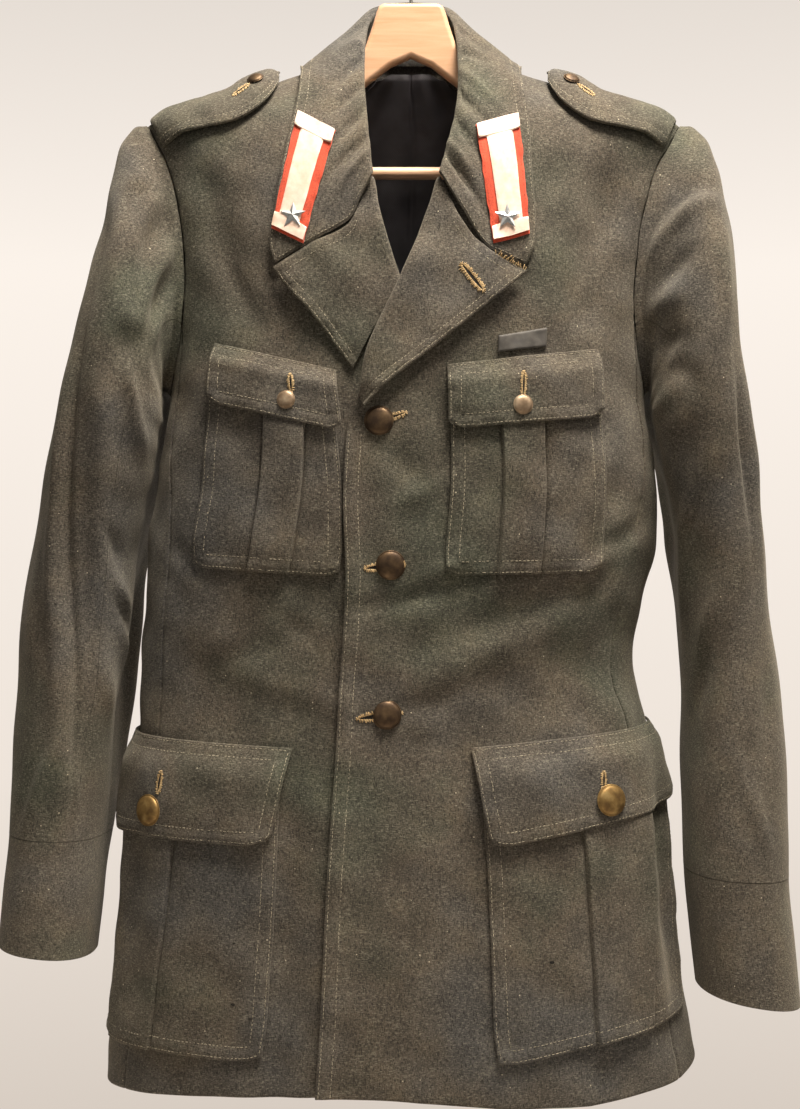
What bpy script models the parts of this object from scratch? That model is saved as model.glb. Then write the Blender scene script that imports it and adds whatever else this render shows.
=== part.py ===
"""Military dress tunic on a wooden hanger.

Metres, +Z up, the front faces -Y and the wearer's left side is at +X.
The origin is the bearing point under the top of the hanger's hook.

The body of the tunic is one surface: a stack of level rings from the hem to the shoulders.
A place on it is (f, z, out): f counts quarters round the ring from its front point, towards +X,
and out is the distance off the cloth's outer face. Every panel, pocket and flap is made from it.
"""

import math

import bmesh
import bpy
import numpy as np
from mathutils import Matrix, Vector

# ---------------------------------------------------------------- driving sizes

WOOL = 0.0021  # thickness of the fulled cloth
SEAM = 0.0004  # parting between neighbouring pieces
TWO_PLY = 0.0026  # turned pieces: collar, straps

# Rings of the body. z: level. cx: shift of the middle. half: half-width.
# front and back: half-depths. power: squareness of the ring.
RING_COLUMNS = ("z", "cx", "half", "front", "back", "power")
RINGS = (
    (-0.930, -0.005, 0.236, 0.099, 0.098, 2.50),
    (-0.882, -0.0075, 0.2295, 0.098, 0.097, 2.50),
    (-0.837, -0.0085, 0.2235, 0.097, 0.095, 2.50),
    (-0.775, -0.0090, 0.2175, 0.094, 0.091, 2.50),
    (-0.733, -0.010, 0.214, 0.092, 0.087, 2.50),
    (-0.688, -0.012, 0.209, 0.089, 0.083, 2.50),
    (-0.637, -0.014, 0.201, 0.086, 0.078, 2.48),
    (-0.587, -0.019, 0.1945, 0.084, 0.075, 2.46),
    (-0.538, -0.013, 0.1965, 0.084, 0.075, 2.45),
    (-0.493, -0.007, 0.200, 0.085, 0.077, 2.45),
    (-0.438, -0.003, 0.196, 0.085, 0.079, 2.42),
    (-0.375, -0.003, 0.186, 0.083, 0.079, 2.38),
    (-0.327, -0.002, 0.184, 0.080, 0.077, 2.34),
    (-0.280, -0.001, 0.188, 0.076, 0.074, 2.30),
    (-0.240, 0.000, 0.194, 0.071, 0.071, 2.25),
    (-0.200, 0.001, 0.203, 0.063, 0.066, 2.20),
    (-0.178, 0.002, 0.210, 0.056, 0.062, 2.16),
    (-0.164, 0.002, 0.211, 0.049, 0.059, 2.14),
    (-0.152, 0.002, 0.177, 0.042, 0.056, 2.12),
    (-0.141, 0.001, 0.145, 0.034, 0.053, 2.10),
    (-0.130, 0.001, 0.113, 0.027, 0.050, 2.08),
    (-0.120, 0.000, 0.083, 0.019, 0.047, 2.06),
    (-0.113, 0.000, 0.064, 0.015, 0.045, 2.05),
    (-0.101, 0.000, 0.062, 0.015, 0.045, 2.05),
)

HEM = -0.905  # the rings' lowest used level; the hem's own line is below
# Hem line. f: place round the ring (0 front, 1 wearer's left side, 2 back, -1 right side).
HEM_LINE = (
    (-2.0, -0.902),
    (-1.5, -0.906),
    (-1.0, -0.912),
    (-0.75, -0.909),
    (-0.5, -0.905),
    (-0.22, -0.902),
    (0.0, -0.904),
    (0.3, -0.912),
    (0.5, -0.912),
    (0.8, -0.902),
    (1.0, -0.888),
    (1.5, -0.898),
    (2.0, -0.902),
)

UNDERARM = -0.375
SHOULDER = -0.164
NECK_SIDE = -0.1145
NECK_BACK = -0.1015
NECK_REACH = 0.80  # how far round, in quarters, the back's neck edge falls from its side to its middle
NECK_ROUNDING = 0.6  # power of that edge's curve
QUARTER_RUN = 0.25  # metres in a quarter of the body, near enough for a fold or a parting
ARMHOLE_FRONT = 0.165  # how far round from the side the armhole reaches, in quarters
ARMHOLE_BACK = 0.20
TURN = math.radians(15)  # step between the armhole's points
# Seams of the side body, in quarters from the front and from the back. z, front, back.
SIDE_SEAMS = (
    (-0.930, 0.800, 1.190),
    (-0.600, 0.775, 1.180),
    (-0.500, 0.775, 1.175),
    (-0.380, 0.8571, 1.1732),
    (-0.300, 0.8571, 1.1732),
)

# Edge of the top front (wearer's left) below the lapel. z, x.
FRONT_EDGE = (
    (-0.930, -0.073),
    (-0.902, -0.0705),
    (-0.837, -0.0665),
    (-0.754, -0.063),
    (-0.704, -0.060),
    (-0.654, -0.0565),
    (-0.604, -0.054),
    (-0.545, -0.0500),
    (-0.518, -0.0490),
    (-0.461, -0.0508),
    (-0.402, -0.0478),
)
BREAK = -0.402
CROSSING = -0.2968
GORGE = -0.2168

# Roll lines of the two lapels, z and x.
ROLL_LEFT_SIDE = (
    (-0.402, -0.0478),
    (-0.383, -0.0385),
    (-0.356, -0.0340),
    (-0.297, -0.0085),
    (-0.272, 0.0020),
    (-0.235, 0.0150),
    (-0.213, 0.0225),
)
ROLL_RIGHT_SIDE = (
    (-0.402, 0.0070),
    (-0.350, 0.0020),
    (-0.297, -0.0085),
    (-0.280, -0.0140),
    (-0.246, -0.0237),
    (-0.213, -0.0300),
)
UNDER_EDGE = 0.010  # edge of the under front below its break, hidden

# Neckline of the fronts, |x| by level, from the gorge to the shoulder seam.
NECKLINE = (
    (-0.215, 0.0285),
    (-0.200, 0.0350),
    (-0.175, 0.0440),
    (-0.152, 0.0520),
    (-0.133, 0.0580),
    (-0.120, 0.0625),
    (-0.113, 0.0645),
)
# Sideways shift of the collar and the neckline by level. z, x.
COLLAR_SHIFT = ((-0.290, -0.0100), (-0.250, -0.0055), (-0.215, -0.0040), (-0.150, 0.0), (-0.05, 0.0))


# ---------------------------------------------------------------- curves


def pchip(x, xs, ys):
    """Smooth curve through (xs, ys) that never overshoots, at x."""
    xs = np.asarray(xs, float)
    ys = np.asarray(ys, float)
    x = np.clip(np.asarray(x, float), xs[0], xs[-1])
    step = np.diff(xs)
    slope = np.diff(ys) / step
    tangent = np.zeros_like(ys)
    same = slope[1:] * slope[:-1] > 0
    safe = np.where(same, slope[1:] * slope[:-1], 1.0)
    mean = 2 * safe / np.where(same, slope[1:] + slope[:-1], 1.0)
    tangent[1:-1] = np.where(same, mean, 0.0)
    tangent[0], tangent[-1] = slope[0], slope[-1]
    i = np.clip(np.searchsorted(xs, x) - 1, 0, len(step) - 1)
    t = (x - xs[i]) / step[i]
    rest = 1 - t
    return (
        ys[i] * (1 + 2 * t) * rest**2
        + ys[i + 1] * t**2 * (3 - 2 * t)
        + step[i] * t * rest * (tangent[i] * rest - tangent[i + 1] * t)
    )


def table(rows):
    return np.array(rows, float).T


RING_TABLE = dict(zip(RING_COLUMNS, table(RINGS)))


def ring(name, z):
    return pchip(z, RING_TABLE["z"], RING_TABLE[name])


def along(rows, z):
    """Second column of a two-column table at level z."""
    columns = table(rows)
    return pchip(z, columns[0], columns[1])


def ease(x):
    x = np.clip(x, 0.0, 1.0)
    return x * x * (3 - 2 * x)


# ---------------------------------------------------------------- the body's surface

LEVELS = np.linspace(-0.935, -0.100, 210)
QUARTER = np.linspace(0, math.pi / 2, 241)
FRACTIONS = np.linspace(0, 1, 201)


def quarter_tables(depth):
    """Length of a quarter ring at each level, and its angle at even fractions of that length."""
    half, deep, power = ring("half", LEVELS), ring(depth, LEVELS), ring("power", LEVELS)
    power = 2 / power[:, None]
    x = half[:, None] * np.sin(QUARTER)[None] ** power
    y = deep[:, None] * np.cos(QUARTER)[None] ** power
    steps = np.hypot(np.diff(x, axis=1), np.diff(y, axis=1))
    run = np.concatenate([np.zeros((len(LEVELS), 1)), np.cumsum(steps, axis=1)], axis=1)
    angle = np.array([np.interp(FRACTIONS * r[-1], r, QUARTER) for r in run])
    return run[:, -1], angle


FRONT_LENGTH, FRONT_ANGLE = quarter_tables("front")
BACK_LENGTH, BACK_ANGLE = quarter_tables("back")


def read_angle(rows, z, fraction):
    """Angle on the quarter ring at level z and a fraction of its length."""
    i = np.clip((z - LEVELS[0]) / (LEVELS[1] - LEVELS[0]), 0, len(LEVELS) - 1.001)
    j = np.clip(fraction, 0, 1) * (len(FRACTIONS) - 1)
    j = np.minimum(j, len(FRACTIONS) - 1.001)
    a, b = i.astype(int), j.astype(int)
    s, t = i - a, j - b
    low = rows[a, b] * (1 - t) + rows[a, b + 1] * t
    high = rows[a + 1, b] * (1 - t) + rows[a + 1, b + 1] * t
    return low * (1 - s) + high * s


def on_ring(f, z):
    """Point of the bare surface at f quarters round from the front and level z."""
    f, z = np.broadcast_arrays(np.asarray(f, float), np.asarray(z, float))
    f = (f + 2) % 4 - 2
    side = np.where(f < 0, -1.0, 1.0)
    q = np.abs(f)
    behind = q > 1
    fraction = np.where(behind, 2 - q, q)
    angle = np.where(
        behind,
        read_angle(BACK_ANGLE, z, fraction),
        read_angle(FRONT_ANGLE, z, fraction),
    )
    power = 2 / ring("power", z)
    deep = np.where(behind, ring("back", z), -ring("front", z))
    x = ring("cx", z) + side * ring("half", z) * np.sin(angle) ** power
    y = deep * np.abs(np.cos(angle)) ** power
    return np.stack([x, y, z], axis=-1)


def quarters(u, z):
    """Distance u along the ring, from its front point, as quarters."""
    u, z = np.broadcast_arrays(np.asarray(u, float), np.asarray(z, float))
    front = np.interp(z, LEVELS, FRONT_LENGTH)
    back = np.interp(z, LEVELS, BACK_LENGTH)
    size = np.abs(u)
    f = np.where(size < front, size / front, 1 + (size - front) / back)
    return np.sign(u) * f


def quarters_of_x(x, z):
    """Place round the front half of the ring whose x is given."""
    x, z = np.broadcast_arrays(np.asarray(x, float), np.asarray(z, float))
    share = np.clip((x - ring("cx", z)) / ring("half", z), -1, 1)
    angle = np.arcsin(np.abs(share) ** (ring("power", z) / 2))
    i = np.clip((z - LEVELS[0]) / (LEVELS[1] - LEVELS[0]), 0, len(LEVELS) - 1.001)
    found = [
        np.interp(a, FRONT_ANGLE[int(round(k))], FRACTIONS)
        for a, k in zip(angle.ravel(), i.ravel())
    ]
    return np.sign(share) * np.array(found).reshape(share.shape)


def normal_at(f, z):
    """Outward normal of the surface."""
    df, dz = 0.004, 0.002
    z = np.minimum(z, LEVELS[-1] - 2 * dz)
    across = on_ring(f + df, z) - on_ring(f - df, z)
    up = on_ring(f, z + dz) - on_ring(f, z - dz)
    n = np.cross(across, up)
    return n / np.linalg.norm(n, axis=-1, keepdims=True)


# Soft folds of the body. f, z: middle. turn: lean of the fold in degrees from upright.
# wide, long: half sizes in metres. high: height of the fold, negative for a hollow.
FOLD_COLUMNS = ("f", "z", "turn", "wide", "long", "high")
FOLDS = (
    (0.62, -0.590, 62, 0.030, 0.090, -0.0045),
    (0.30, -0.640, 75, 0.028, 0.080, -0.0025),
    (-0.62, -0.600, -66, 0.028, 0.080, -0.0035),
    (0.88, -0.800, 4, 0.022, 0.085, -0.0040),
    (-0.20, -0.800, 5, 0.030, 0.110, 0.0030),
    (0.16, -0.840, -4, 0.035, 0.090, 0.0035),
    (0.66, -0.260, 16, 0.018, 0.060, -0.0035),
    (-0.66, -0.262, -16, 0.018, 0.060, -0.0035),
    (1.55, -0.800, 3, 0.040, 0.120, 0.0060),
    (-1.55, -0.800, -3, 0.040, 0.120, 0.0060),
    (2.00, -0.620, 4, 0.035, 0.150, -0.0060),
    (1.40, -0.600, 70, 0.030, 0.090, -0.0040),
    (-1.40, -0.600, -70, 0.030, 0.090, -0.0040),
)


def fold_height(f, z):
    """Sum of the soft folds at a place."""
    total = np.zeros(np.broadcast(f, z).shape)
    for row in FOLDS:
        fold = dict(zip(FOLD_COLUMNS, row))
        away = (f - fold["f"] + 2) % 4 - 2
        x, y = away * QUARTER_RUN, z - fold["z"]
        lean = math.radians(fold["turn"])
        across = x * math.cos(lean) - y * math.sin(lean)
        length = x * math.sin(lean) + y * math.cos(lean)
        total = total + fold["high"] * np.exp(
            -((across / fold["wide"]) ** 2) - (length / fold["long"]) ** 2
        )
    return total * ease((-0.170 - z) / 0.05)


def cloth(f, z, out=0.0):
    """Point at f quarters round, level z and out metres off the cloth's face."""
    f, z, out = np.broadcast_arrays(f, z, np.asarray(out, float))
    reach = (out + fold_height(f, z))[..., None]
    return on_ring(f, z) + reach * normal_at(f, z)


def front_lift(f, z):
    """How far the wearer's left front stands off, where it lies over the other front."""
    edge = quarters_of_x(left_front_inner(z), z)
    near = 1 - ease((f - edge - 0.25) / 0.16)
    over_lapel = ease((z + 0.392) / 0.02) * (1 - ease((f - edge) / 0.13))
    return near * (0.0030 + 0.0058 * over_lapel) * ease((-0.258 - z) / 0.03)


def left_front_inner(z):
    """x of the inner edge of the wearer's left front: front edge, then roll line, then neckline."""
    z = np.asarray(z, float)
    neckline = along(NECKLINE, z) + along(COLLAR_SHIFT, z)
    return np.where(
        z < BREAK,
        along(FRONT_EDGE, z),
        np.where(z < GORGE, along(ROLL_LEFT_SIDE, z), neckline),
    )


def right_front_inner(z):
    """x of the inner edge of the wearer's right front, which lies under the other."""
    z = np.asarray(z, float)
    below = UNDER_EDGE + along(FRONT_EDGE, z) - FRONT_EDGE[-1][1]
    blend = ease((z - (BREAK - 0.05)) / 0.05)
    hidden = below * (1 - blend) + ROLL_RIGHT_SIDE[0][1] * blend
    return np.where(
        z < BREAK,
        hidden,
        np.where(z < GORGE, along(ROLL_RIGHT_SIDE, z), along(COLLAR_SHIFT, z) - along(NECKLINE, z)),
    )


def armhole_reach(z, size):
    """Half the armhole's reach round the ring at level z."""
    middle, tall = (UNDERARM + SHOULDER) / 2, (SHOULDER - UNDERARM) / 2
    inside = np.clip(1 - ((np.asarray(z, float) - middle) / tall) ** 2, 0, 1)
    return size * np.sqrt(inside)


# ---------------------------------------------------------------- building pieces


def clear_scene():
    for obj in list(bpy.data.objects):
        bpy.data.objects.remove(obj, do_unlink=True)
    parts = bpy.data.collections.new("military_dress_tunic")
    bpy.context.scene.collection.children.link(parts)
    return parts


def linear(channel):
    channel /= 255
    return channel / 12.92 if channel <= 0.04045 else ((channel + 0.055) / 1.055) ** 2.4


def material(name, colour, roughness, metallic=0.0):
    made = bpy.data.materials.new(name)
    made.use_nodes = True
    shader = made.node_tree.nodes["Principled BSDF"]
    shader.inputs["Base Color"].default_value = (*map(linear, colour), 1.0)
    shader.inputs["Roughness"].default_value = roughness
    shader.inputs["Metallic"].default_value = metallic
    return made


PARTS = clear_scene()
GREY_GREEN_WOOL = material("grey_green_wool", (92, 90, 78), 0.95)
DARK_LINING = material("dark_lining", (38, 36, 38), 0.70)
RED_CLOTH = material("red_cloth", (205, 66, 42), 0.90)
CREAM_RIBBON = material("cream_ribbon", (240, 208, 178), 0.60)
GREY_RIBBON = material("grey_ribbon", (84, 82, 84), 0.80)
SILVER_METAL = material("silver_metal", (196, 200, 204), 0.35, 1.0)
BROWNED_BRASS = material("browned_brass", (112, 90, 62), 0.42, 1.0)
PALE_BEECH = material("pale_beech", (226, 190, 142), 0.50)
HOOK_STEEL = material("hook_steel", (190, 190, 190), 0.30, 1.0)


def add_object(name, mesh, look):
    obj = bpy.data.objects.new(name, mesh)
    PARTS.objects.link(obj)
    mesh.materials.append(look)
    mesh.shade_smooth()
    mesh.set_sharp_from_angle(angle=math.radians(42))
    return obj


def wall(name, outer, inner, look, closed=False):
    """Closed wall between two matching grids of points. closed joins the last column to the first."""
    rows, columns = outer.shape[:2]
    points = np.concatenate([outer.reshape(-1, 3), inner.reshape(-1, 3)])
    shift = rows * columns
    faces = []

    def number(i, j):
        return i * columns + j % columns

    span = columns if closed else columns - 1
    for i in range(rows - 1):
        for j in range(span):
            a, b = number(i, j), number(i, j + 1)
            c, d = number(i + 1, j + 1), number(i + 1, j)
            for corner in ((a, b, c), (a, c, d)):
                faces.append(corner)
                faces.append(tuple(k + shift for k in reversed(corner)))
    for j in range(span):
        a, b = number(0, j), number(0, j + 1)
        faces.append((a + shift, b + shift, b, a))
        a, b = number(rows - 1, j), number(rows - 1, j + 1)
        faces.append((a, b, b + shift, a + shift))
    if not closed:
        for i in range(rows - 1):
            a, b = number(i, 0), number(i + 1, 0)
            faces.append((a, b, b + shift, a + shift))
            a, b = number(i, columns - 1), number(i + 1, columns - 1)
            faces.append((a + shift, b + shift, b, a))
    mesh = bpy.data.meshes.new(name)
    mesh.from_pydata(points.tolist(), [], faces)
    made = bmesh.new()
    made.from_mesh(mesh)
    bmesh.ops.recalc_face_normals(made, faces=made.faces)
    if made.calc_volume(signed=True) < 0:
        bmesh.ops.reverse_faces(made, faces=made.faces)
    made.to_mesh(mesh)
    made.free()
    return add_object(name, mesh, look)


def panel(name, f, z, out, look, thick=WOOL):
    """Wall of cloth on the body's surface, from a grid of places."""
    return wall(name, cloth(f, z, out), cloth(f, z, out - thick), look)


def spread(low, high, count):
    """count even steps between two edges, a row for each level."""
    t = np.linspace(0, 1, count)[None]
    return np.asarray(low)[:, None] * (1 - t) + np.asarray(high)[:, None] * t


def hem_drop(f, z):
    """Lowers the bottom rows to the hem line."""
    columns = table(HEM_LINE)
    away = np.interp((f + 2) % 4 - 2, columns[0], columns[1]) - HEM
    return z + away * (1 - ease((z - HEM) / 0.10))


def armhole_levels(first, last):
    """Levels of the armhole's points between two turns, counted from its top."""
    middle, tall = (UNDERARM + SHOULDER) / 2, (SHOULDER - UNDERARM) / 2
    return [middle + tall * math.cos(k * TURN) for k in range(first, last, -1)]


LOW_LEVELS = (HEM, -0.880, -0.840, -0.795, -0.750, -0.705, -0.660, -0.620, -0.580, -0.540)
LOW_LEVELS += (-0.500, -0.460, -0.425, BREAK, -0.390, -0.375, -0.350)
BODY_LEVELS = np.array(
    (*LOW_LEVELS, *armhole_levels(8, 0), SHOULDER, -0.155, -0.146, -0.136, -0.127, -0.119)
)
JOIN = len(LOW_LEVELS)  # row where a side seam meets the armhole


def side_seam(column, z):
    columns = table(SIDE_SEAMS)
    return pchip(z, columns[0], columns[column])


def outer_place(z, reach, column):
    """Place where a front or back ends: side seam, then armhole, then shoulder seam."""
    away = armhole_reach(z, reach) * (1 if column == 2 else -1)
    place = np.where(z < SHOULDER - 1e-6, 1 + away, 1.0)
    place[: JOIN + 1] = side_seam(column, z[: JOIN + 1])
    return place


# Shares of a front's width, from its edge to its side seam, where its points lie.
FRONT_COLUMNS = (0, 0.05, 0.12, 0.22, 0.35, 0.49, 0.63, 0.77, 0.89, 1.0)


def make_fronts():
    z = BODY_LEVELS
    gap = SEAM / 2 / QUARTER_RUN
    shares = np.array(FRONT_COLUMNS)[None]
    for name, sign, inner in (
        ("front_left", 1, left_front_inner),
        ("front_right", -1, right_front_inner),
    ):
        turned = (z > BREAK - 0.002) & (z < GORGE + 0.001)
        edge = quarters_of_x(inner(z) + sign * np.where(turned, 0.0042, 0.0), z) * sign
        outer = outer_place(z, ARMHOLE_FRONT, 1) - gap
        f = (edge[:, None] * (1 - shares) + outer[:, None] * shares) * sign
        zz = hem_drop(f, np.repeat(z[:, None], shares.size, axis=1))
        lift = front_lift(f, zz) if sign > 0 else 0.0
        panel(name, f, zz, lift, GREY_GREEN_WOOL)


def make_sides():
    """The side bodies: their rows meet the fronts' rows at one seam and the back's at the other."""
    gap = SEAM / 2 / QUARTER_RUN
    around = np.arange(8, 17) * TURN
    reach = np.where(np.sin(around) > 0, ARMHOLE_FRONT, ARMHOLE_BACK)
    top_place = 1 - reach * np.sin(around)
    top = (UNDERARM + SHOULDER) / 2 + (SHOULDER - UNDERARM) / 2 * np.cos(around)
    levels = np.append(LOW_LEVELS, top[0])
    t = (levels - HEM) / (top[0] - HEM)
    z = HEM + (top[None] - HEM) * t[:, None]
    share = (top_place - top_place[0]) / (top_place[-1] - top_place[0])
    front, back = side_seam(1, z) + gap, side_seam(2, z) - gap
    places = front * (1 - share[None]) + back * share[None]
    for name, sign in (("side_left", 1), ("side_right", -1)):
        f = places * sign
        panel(name, f, hem_drop(f, z), 0.0, GREY_GREEN_WOOL)


def back_grid():
    """Places of the back's points, a row for each level."""
    neck_rows = (NECK_SIDE, -0.1130, -0.1115, -0.1095, -0.1070, -0.1048, -0.1030)
    z = np.concatenate([BODY_LEVELS, neck_rows])
    gap = SEAM / 2 / QUARTER_RUN
    columns = 13
    low = outer_place(z, ARMHOLE_BACK, 2)
    neck = np.clip((z - NECK_SIDE) / (NECK_BACK - NECK_SIDE), 0, 1)
    low = np.where(z > NECK_SIDE, 1 + NECK_REACH * neck**NECK_ROUNDING, low)
    f = spread(low + gap, 4 - low - gap, columns)
    return f, hem_drop(f, np.repeat(z[:, None], columns, axis=1))


def make_back():
    panel("back", *back_grid(), 0.0, GREY_GREEN_WOOL)


make_fronts()
make_sides()
make_back()


# ---------------------------------------------------------------- sleeves

# Rings of a sleeve from the armhole to the cuff's lower edge. Each leans from its outer point
# (x_out, z_out) to its inner point (x_in, z_in). deep: half-depth. y: middle. seam: how much
# of the armhole's own form the ring still has.
SLEEVE_COLUMNS = ("x_out", "z_out", "x_in", "z_in", "deep", "y", "seam")
SLEEVE_RIGHT = (
    (0.2105, -0.1635, 0.1870, -0.375, 0.050, 0.000, 1.00),
    (0.2180, -0.1640, 0.1925, -0.3705, 0.0510, 0.000, 0.92),
    (0.2270, -0.1780, 0.1965, -0.3730, 0.0580, 0.000, 0.55),
    (0.2345, -0.2100, 0.1975, -0.380, 0.067, 0.000, 0.25),
    (0.2410, -0.2460, 0.1990, -0.390, 0.073, 0.002, 0.10),
    (0.2520, -0.2840, 0.2015, -0.404, 0.077, 0.004, 0.00),
    (0.2640, -0.3290, 0.2050, -0.421, 0.079, 0.006, 0.00),
    (0.2760, -0.3780, 0.2090, -0.445, 0.079, 0.009, 0.00),
    (0.2865, -0.4320, 0.2130, -0.472, 0.076, 0.012, 0.00),
    (0.2965, -0.4880, 0.2165, -0.505, 0.072, 0.014, 0.00),
    (0.3060, -0.5420, 0.2180, -0.546, 0.069, 0.014, 0.00),
    (0.3090, -0.6000, 0.2225, -0.602, 0.066, 0.010, 0.00),
    (0.3115, -0.6600, 0.2340, -0.660, 0.062, 0.003, 0.00),
    (0.3125, -0.7180, 0.2430, -0.721, 0.058, -0.004, 0.00),
    (0.3160, -0.7600, 0.2450, -0.766, 0.056, -0.010, 0.00),
    (0.3190, -0.8020, 0.2495, -0.811, 0.055, -0.014, 0.00),
)
SLEEVE_LEFT = (
    (0.2125, -0.1635, 0.1830, -0.375, 0.050, 0.000, 1.00),
    (0.2200, -0.1640, 0.1880, -0.3705, 0.0510, 0.000, 0.92),
    (0.2310, -0.1750, 0.1910, -0.3730, 0.0580, -0.001, 0.55),
    (0.2385, -0.1970, 0.1920, -0.380, 0.066, -0.002, 0.25),
    (0.2450, -0.2260, 0.1935, -0.389, 0.071, -0.002, 0.10),
    (0.2510, -0.2700, 0.1950, -0.400, 0.076, -0.002, 0.00),
    (0.2550, -0.3280, 0.1970, -0.414, 0.079, 0.000, 0.00),
    (0.2625, -0.3840, 0.2010, -0.438, 0.079, 0.002, 0.00),
    (0.2700, -0.4360, 0.2045, -0.468, 0.076, 0.004, 0.00),
    (0.2755, -0.4880, 0.2085, -0.502, 0.073, 0.004, 0.00),
    (0.2800, -0.5520, 0.2115, -0.556, 0.070, 0.002, 0.00),
    (0.2870, -0.6180, 0.2150, -0.618, 0.066, -0.006, 0.00),
    (0.2900, -0.6820, 0.2150, -0.680, 0.062, -0.017, 0.00),
    (0.2885, -0.7480, 0.2155, -0.745, 0.058, -0.027, 0.00),
    (0.2920, -0.7960, 0.2185, -0.790, 0.056, -0.033, 0.00),
    (0.2955, -0.8440, 0.2225, -0.832, 0.055, -0.038, 0.00),
)
SLEEVE_POWER = 2.25
CUFF_AT = 13.0  # ring where the cuff's upper edge lies
CUFF_END = 15.0
ARM_SEAM_FRONT, ARM_SEAM_BACK = 8, 16  # armhole points where the two sleeve seams start

# Soft folds of the sleeves. turn: place round (0 outer, 90 front, 180 inner), t: ring.
# wide: half size round, in degrees. long: half size in rings. lean: degrees round for each ring.
SLEEVE_FOLD_COLUMNS = ("turn", "t", "wide", "long", "lean", "high")
SLEEVE_FOLDS_RIGHT = (
    (38.0, 8.0, 16.0, 3.6, 0.0, 0.0040),
    (64.0, 3.4, 13.0, 1.6, -9.0, -0.0055),
    (100.0, 4.4, 12.0, 1.4, -10.0, 0.0040),
    (60.0, 10.2, 14.0, 0.9, 16.0, -0.0045),
    (30.0, 12.4, 14.0, 0.9, -12.0, 0.0035),
    (-70.0, 9.6, 20.0, 1.1, 14.0, -0.0050),
    (-60.0, 4.0, 18.0, 1.5, 8.0, -0.0045),
)
SLEEVE_FOLDS_LEFT = (
    (72.0, 3.4, 13.0, 1.7, 9.0, -0.0050),
    (34.0, 7.6, 14.0, 2.4, 0.0, 0.0035),
    (112.0, 9.2, 15.0, 1.8, 0.0, -0.0045),
    (66.0, 11.2, 16.0, 1.2, 8.0, 0.0035),
    (-70.0, 9.6, 20.0, 1.1, -14.0, -0.0050),
    (-60.0, 4.0, 18.0, 1.5, -8.0, -0.0045),
)


def armhole(turn, sign):
    """Place (f, z) on the armhole at a turn from its top; the front is at a quarter turn."""
    middle, tall = (UNDERARM + SHOULDER) / 2, (SHOULDER - UNDERARM) / 2
    reach = np.where(np.sin(turn) > 0, ARMHOLE_FRONT, ARMHOLE_BACK)
    return sign * (1 - reach * np.sin(turn)), middle + tall * np.cos(turn)


def armhole_edge(turn, sign):
    """Sleeve's first ring: the armhole's points moved a seam's width off the body."""
    f, z = armhole(turn, sign)
    place = cloth(f, z)
    step = 0.02
    ahead = cloth(*armhole(turn + step, sign))
    behind = cloth(*armhole(turn - step, sign))
    normal = normal_at(f, z)
    off = np.cross(normal, ahead - behind)
    off /= np.linalg.norm(off, axis=-1, keepdims=True)
    hole = cloth(*armhole(turn * 0 + math.pi / 2, sign))
    centre = np.array([hole[..., 0].mean(), 0.0, (UNDERARM + SHOULDER) / 2])
    inward = np.sign(((centre - place) * off).sum(-1, keepdims=True))
    return place + off * inward * SEAM


def sleeve_ring(turn, t, rows, sign):
    """Point of the sleeve's surface at a turn and a ring number."""
    columns = dict(zip(SLEEVE_COLUMNS, table(rows)))
    number = np.arange(len(rows))
    read = {name: pchip(t, number, column) for name, column in columns.items()}
    power = 2 / SLEEVE_POWER
    c, s = np.cos(turn), np.sin(turn)
    c = np.sign(c) * np.abs(c) ** power
    s = np.sign(s) * np.abs(s) ** power
    x = (read["x_out"] + read["x_in"]) / 2 + (read["x_out"] - read["x_in"]) / 2 * c
    z = (read["z_out"] + read["z_in"]) / 2 + (read["z_out"] - read["z_in"]) / 2 * c
    y = read["y"] - read["deep"] * s
    return np.stack([sign * x, y, z], axis=-1), read["seam"][..., None]


def sleeve_fold(turn, t, folds):
    total = np.zeros(np.broadcast(turn, t).shape)
    for row in folds:
        fold = dict(zip(SLEEVE_FOLD_COLUMNS, row))
        middle = math.radians(fold["turn"]) + math.radians(fold["lean"]) * (t - fold["t"])
        away = (turn - middle + math.pi) % (2 * math.pi) - math.pi
        total = total + fold["high"] * np.exp(
            -((away / math.radians(fold["wide"])) ** 2) - ((t - fold["t"]) / fold["long"]) ** 2
        )
    return total * ease(t / 1.5) * ease((CUFF_AT + 0.2 - t) / 1.0)


def bare_sleeve(turn, t, side):
    rows, _, sign = side
    ring_point, share = sleeve_ring(turn, t, rows, sign)
    first, _ = sleeve_ring(turn, t * 0, rows, sign)
    return ring_point + share * (armhole_edge(turn, sign) - first)


def sleeve(turn, t, out, side):
    """Point of the sleeve: turn round it, ring t, out metres off its face."""
    turn, t, out = np.broadcast_arrays(turn, np.asarray(t, float), np.asarray(out, float))
    _, folds, sign = side
    last = len(SLEEVE_RIGHT) - 1
    place = bare_sleeve(turn, t, side)
    around = bare_sleeve(turn + 0.03, t, side) - bare_sleeve(turn - 0.03, t, side)
    down = bare_sleeve(turn, np.minimum(t + 0.05, last), side) - bare_sleeve(
        turn, np.maximum(t - 0.05, 0), side
    )
    normal = np.cross(around, down) * -sign
    normal /= np.linalg.norm(normal, axis=-1, keepdims=True)
    reach = out + sleeve_fold(turn, t, folds)
    return place + normal * reach[..., None]


SIDES = {
    "left": (SLEEVE_LEFT, SLEEVE_FOLDS_LEFT, 1),
    "right": (SLEEVE_RIGHT, SLEEVE_FOLDS_RIGHT, -1),
}
CUFF_PROUD = 0.0010  # the cuff's face stands this far off the sleeve's
CUFF_THICK = 0.0030  # turned, two layers


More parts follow.
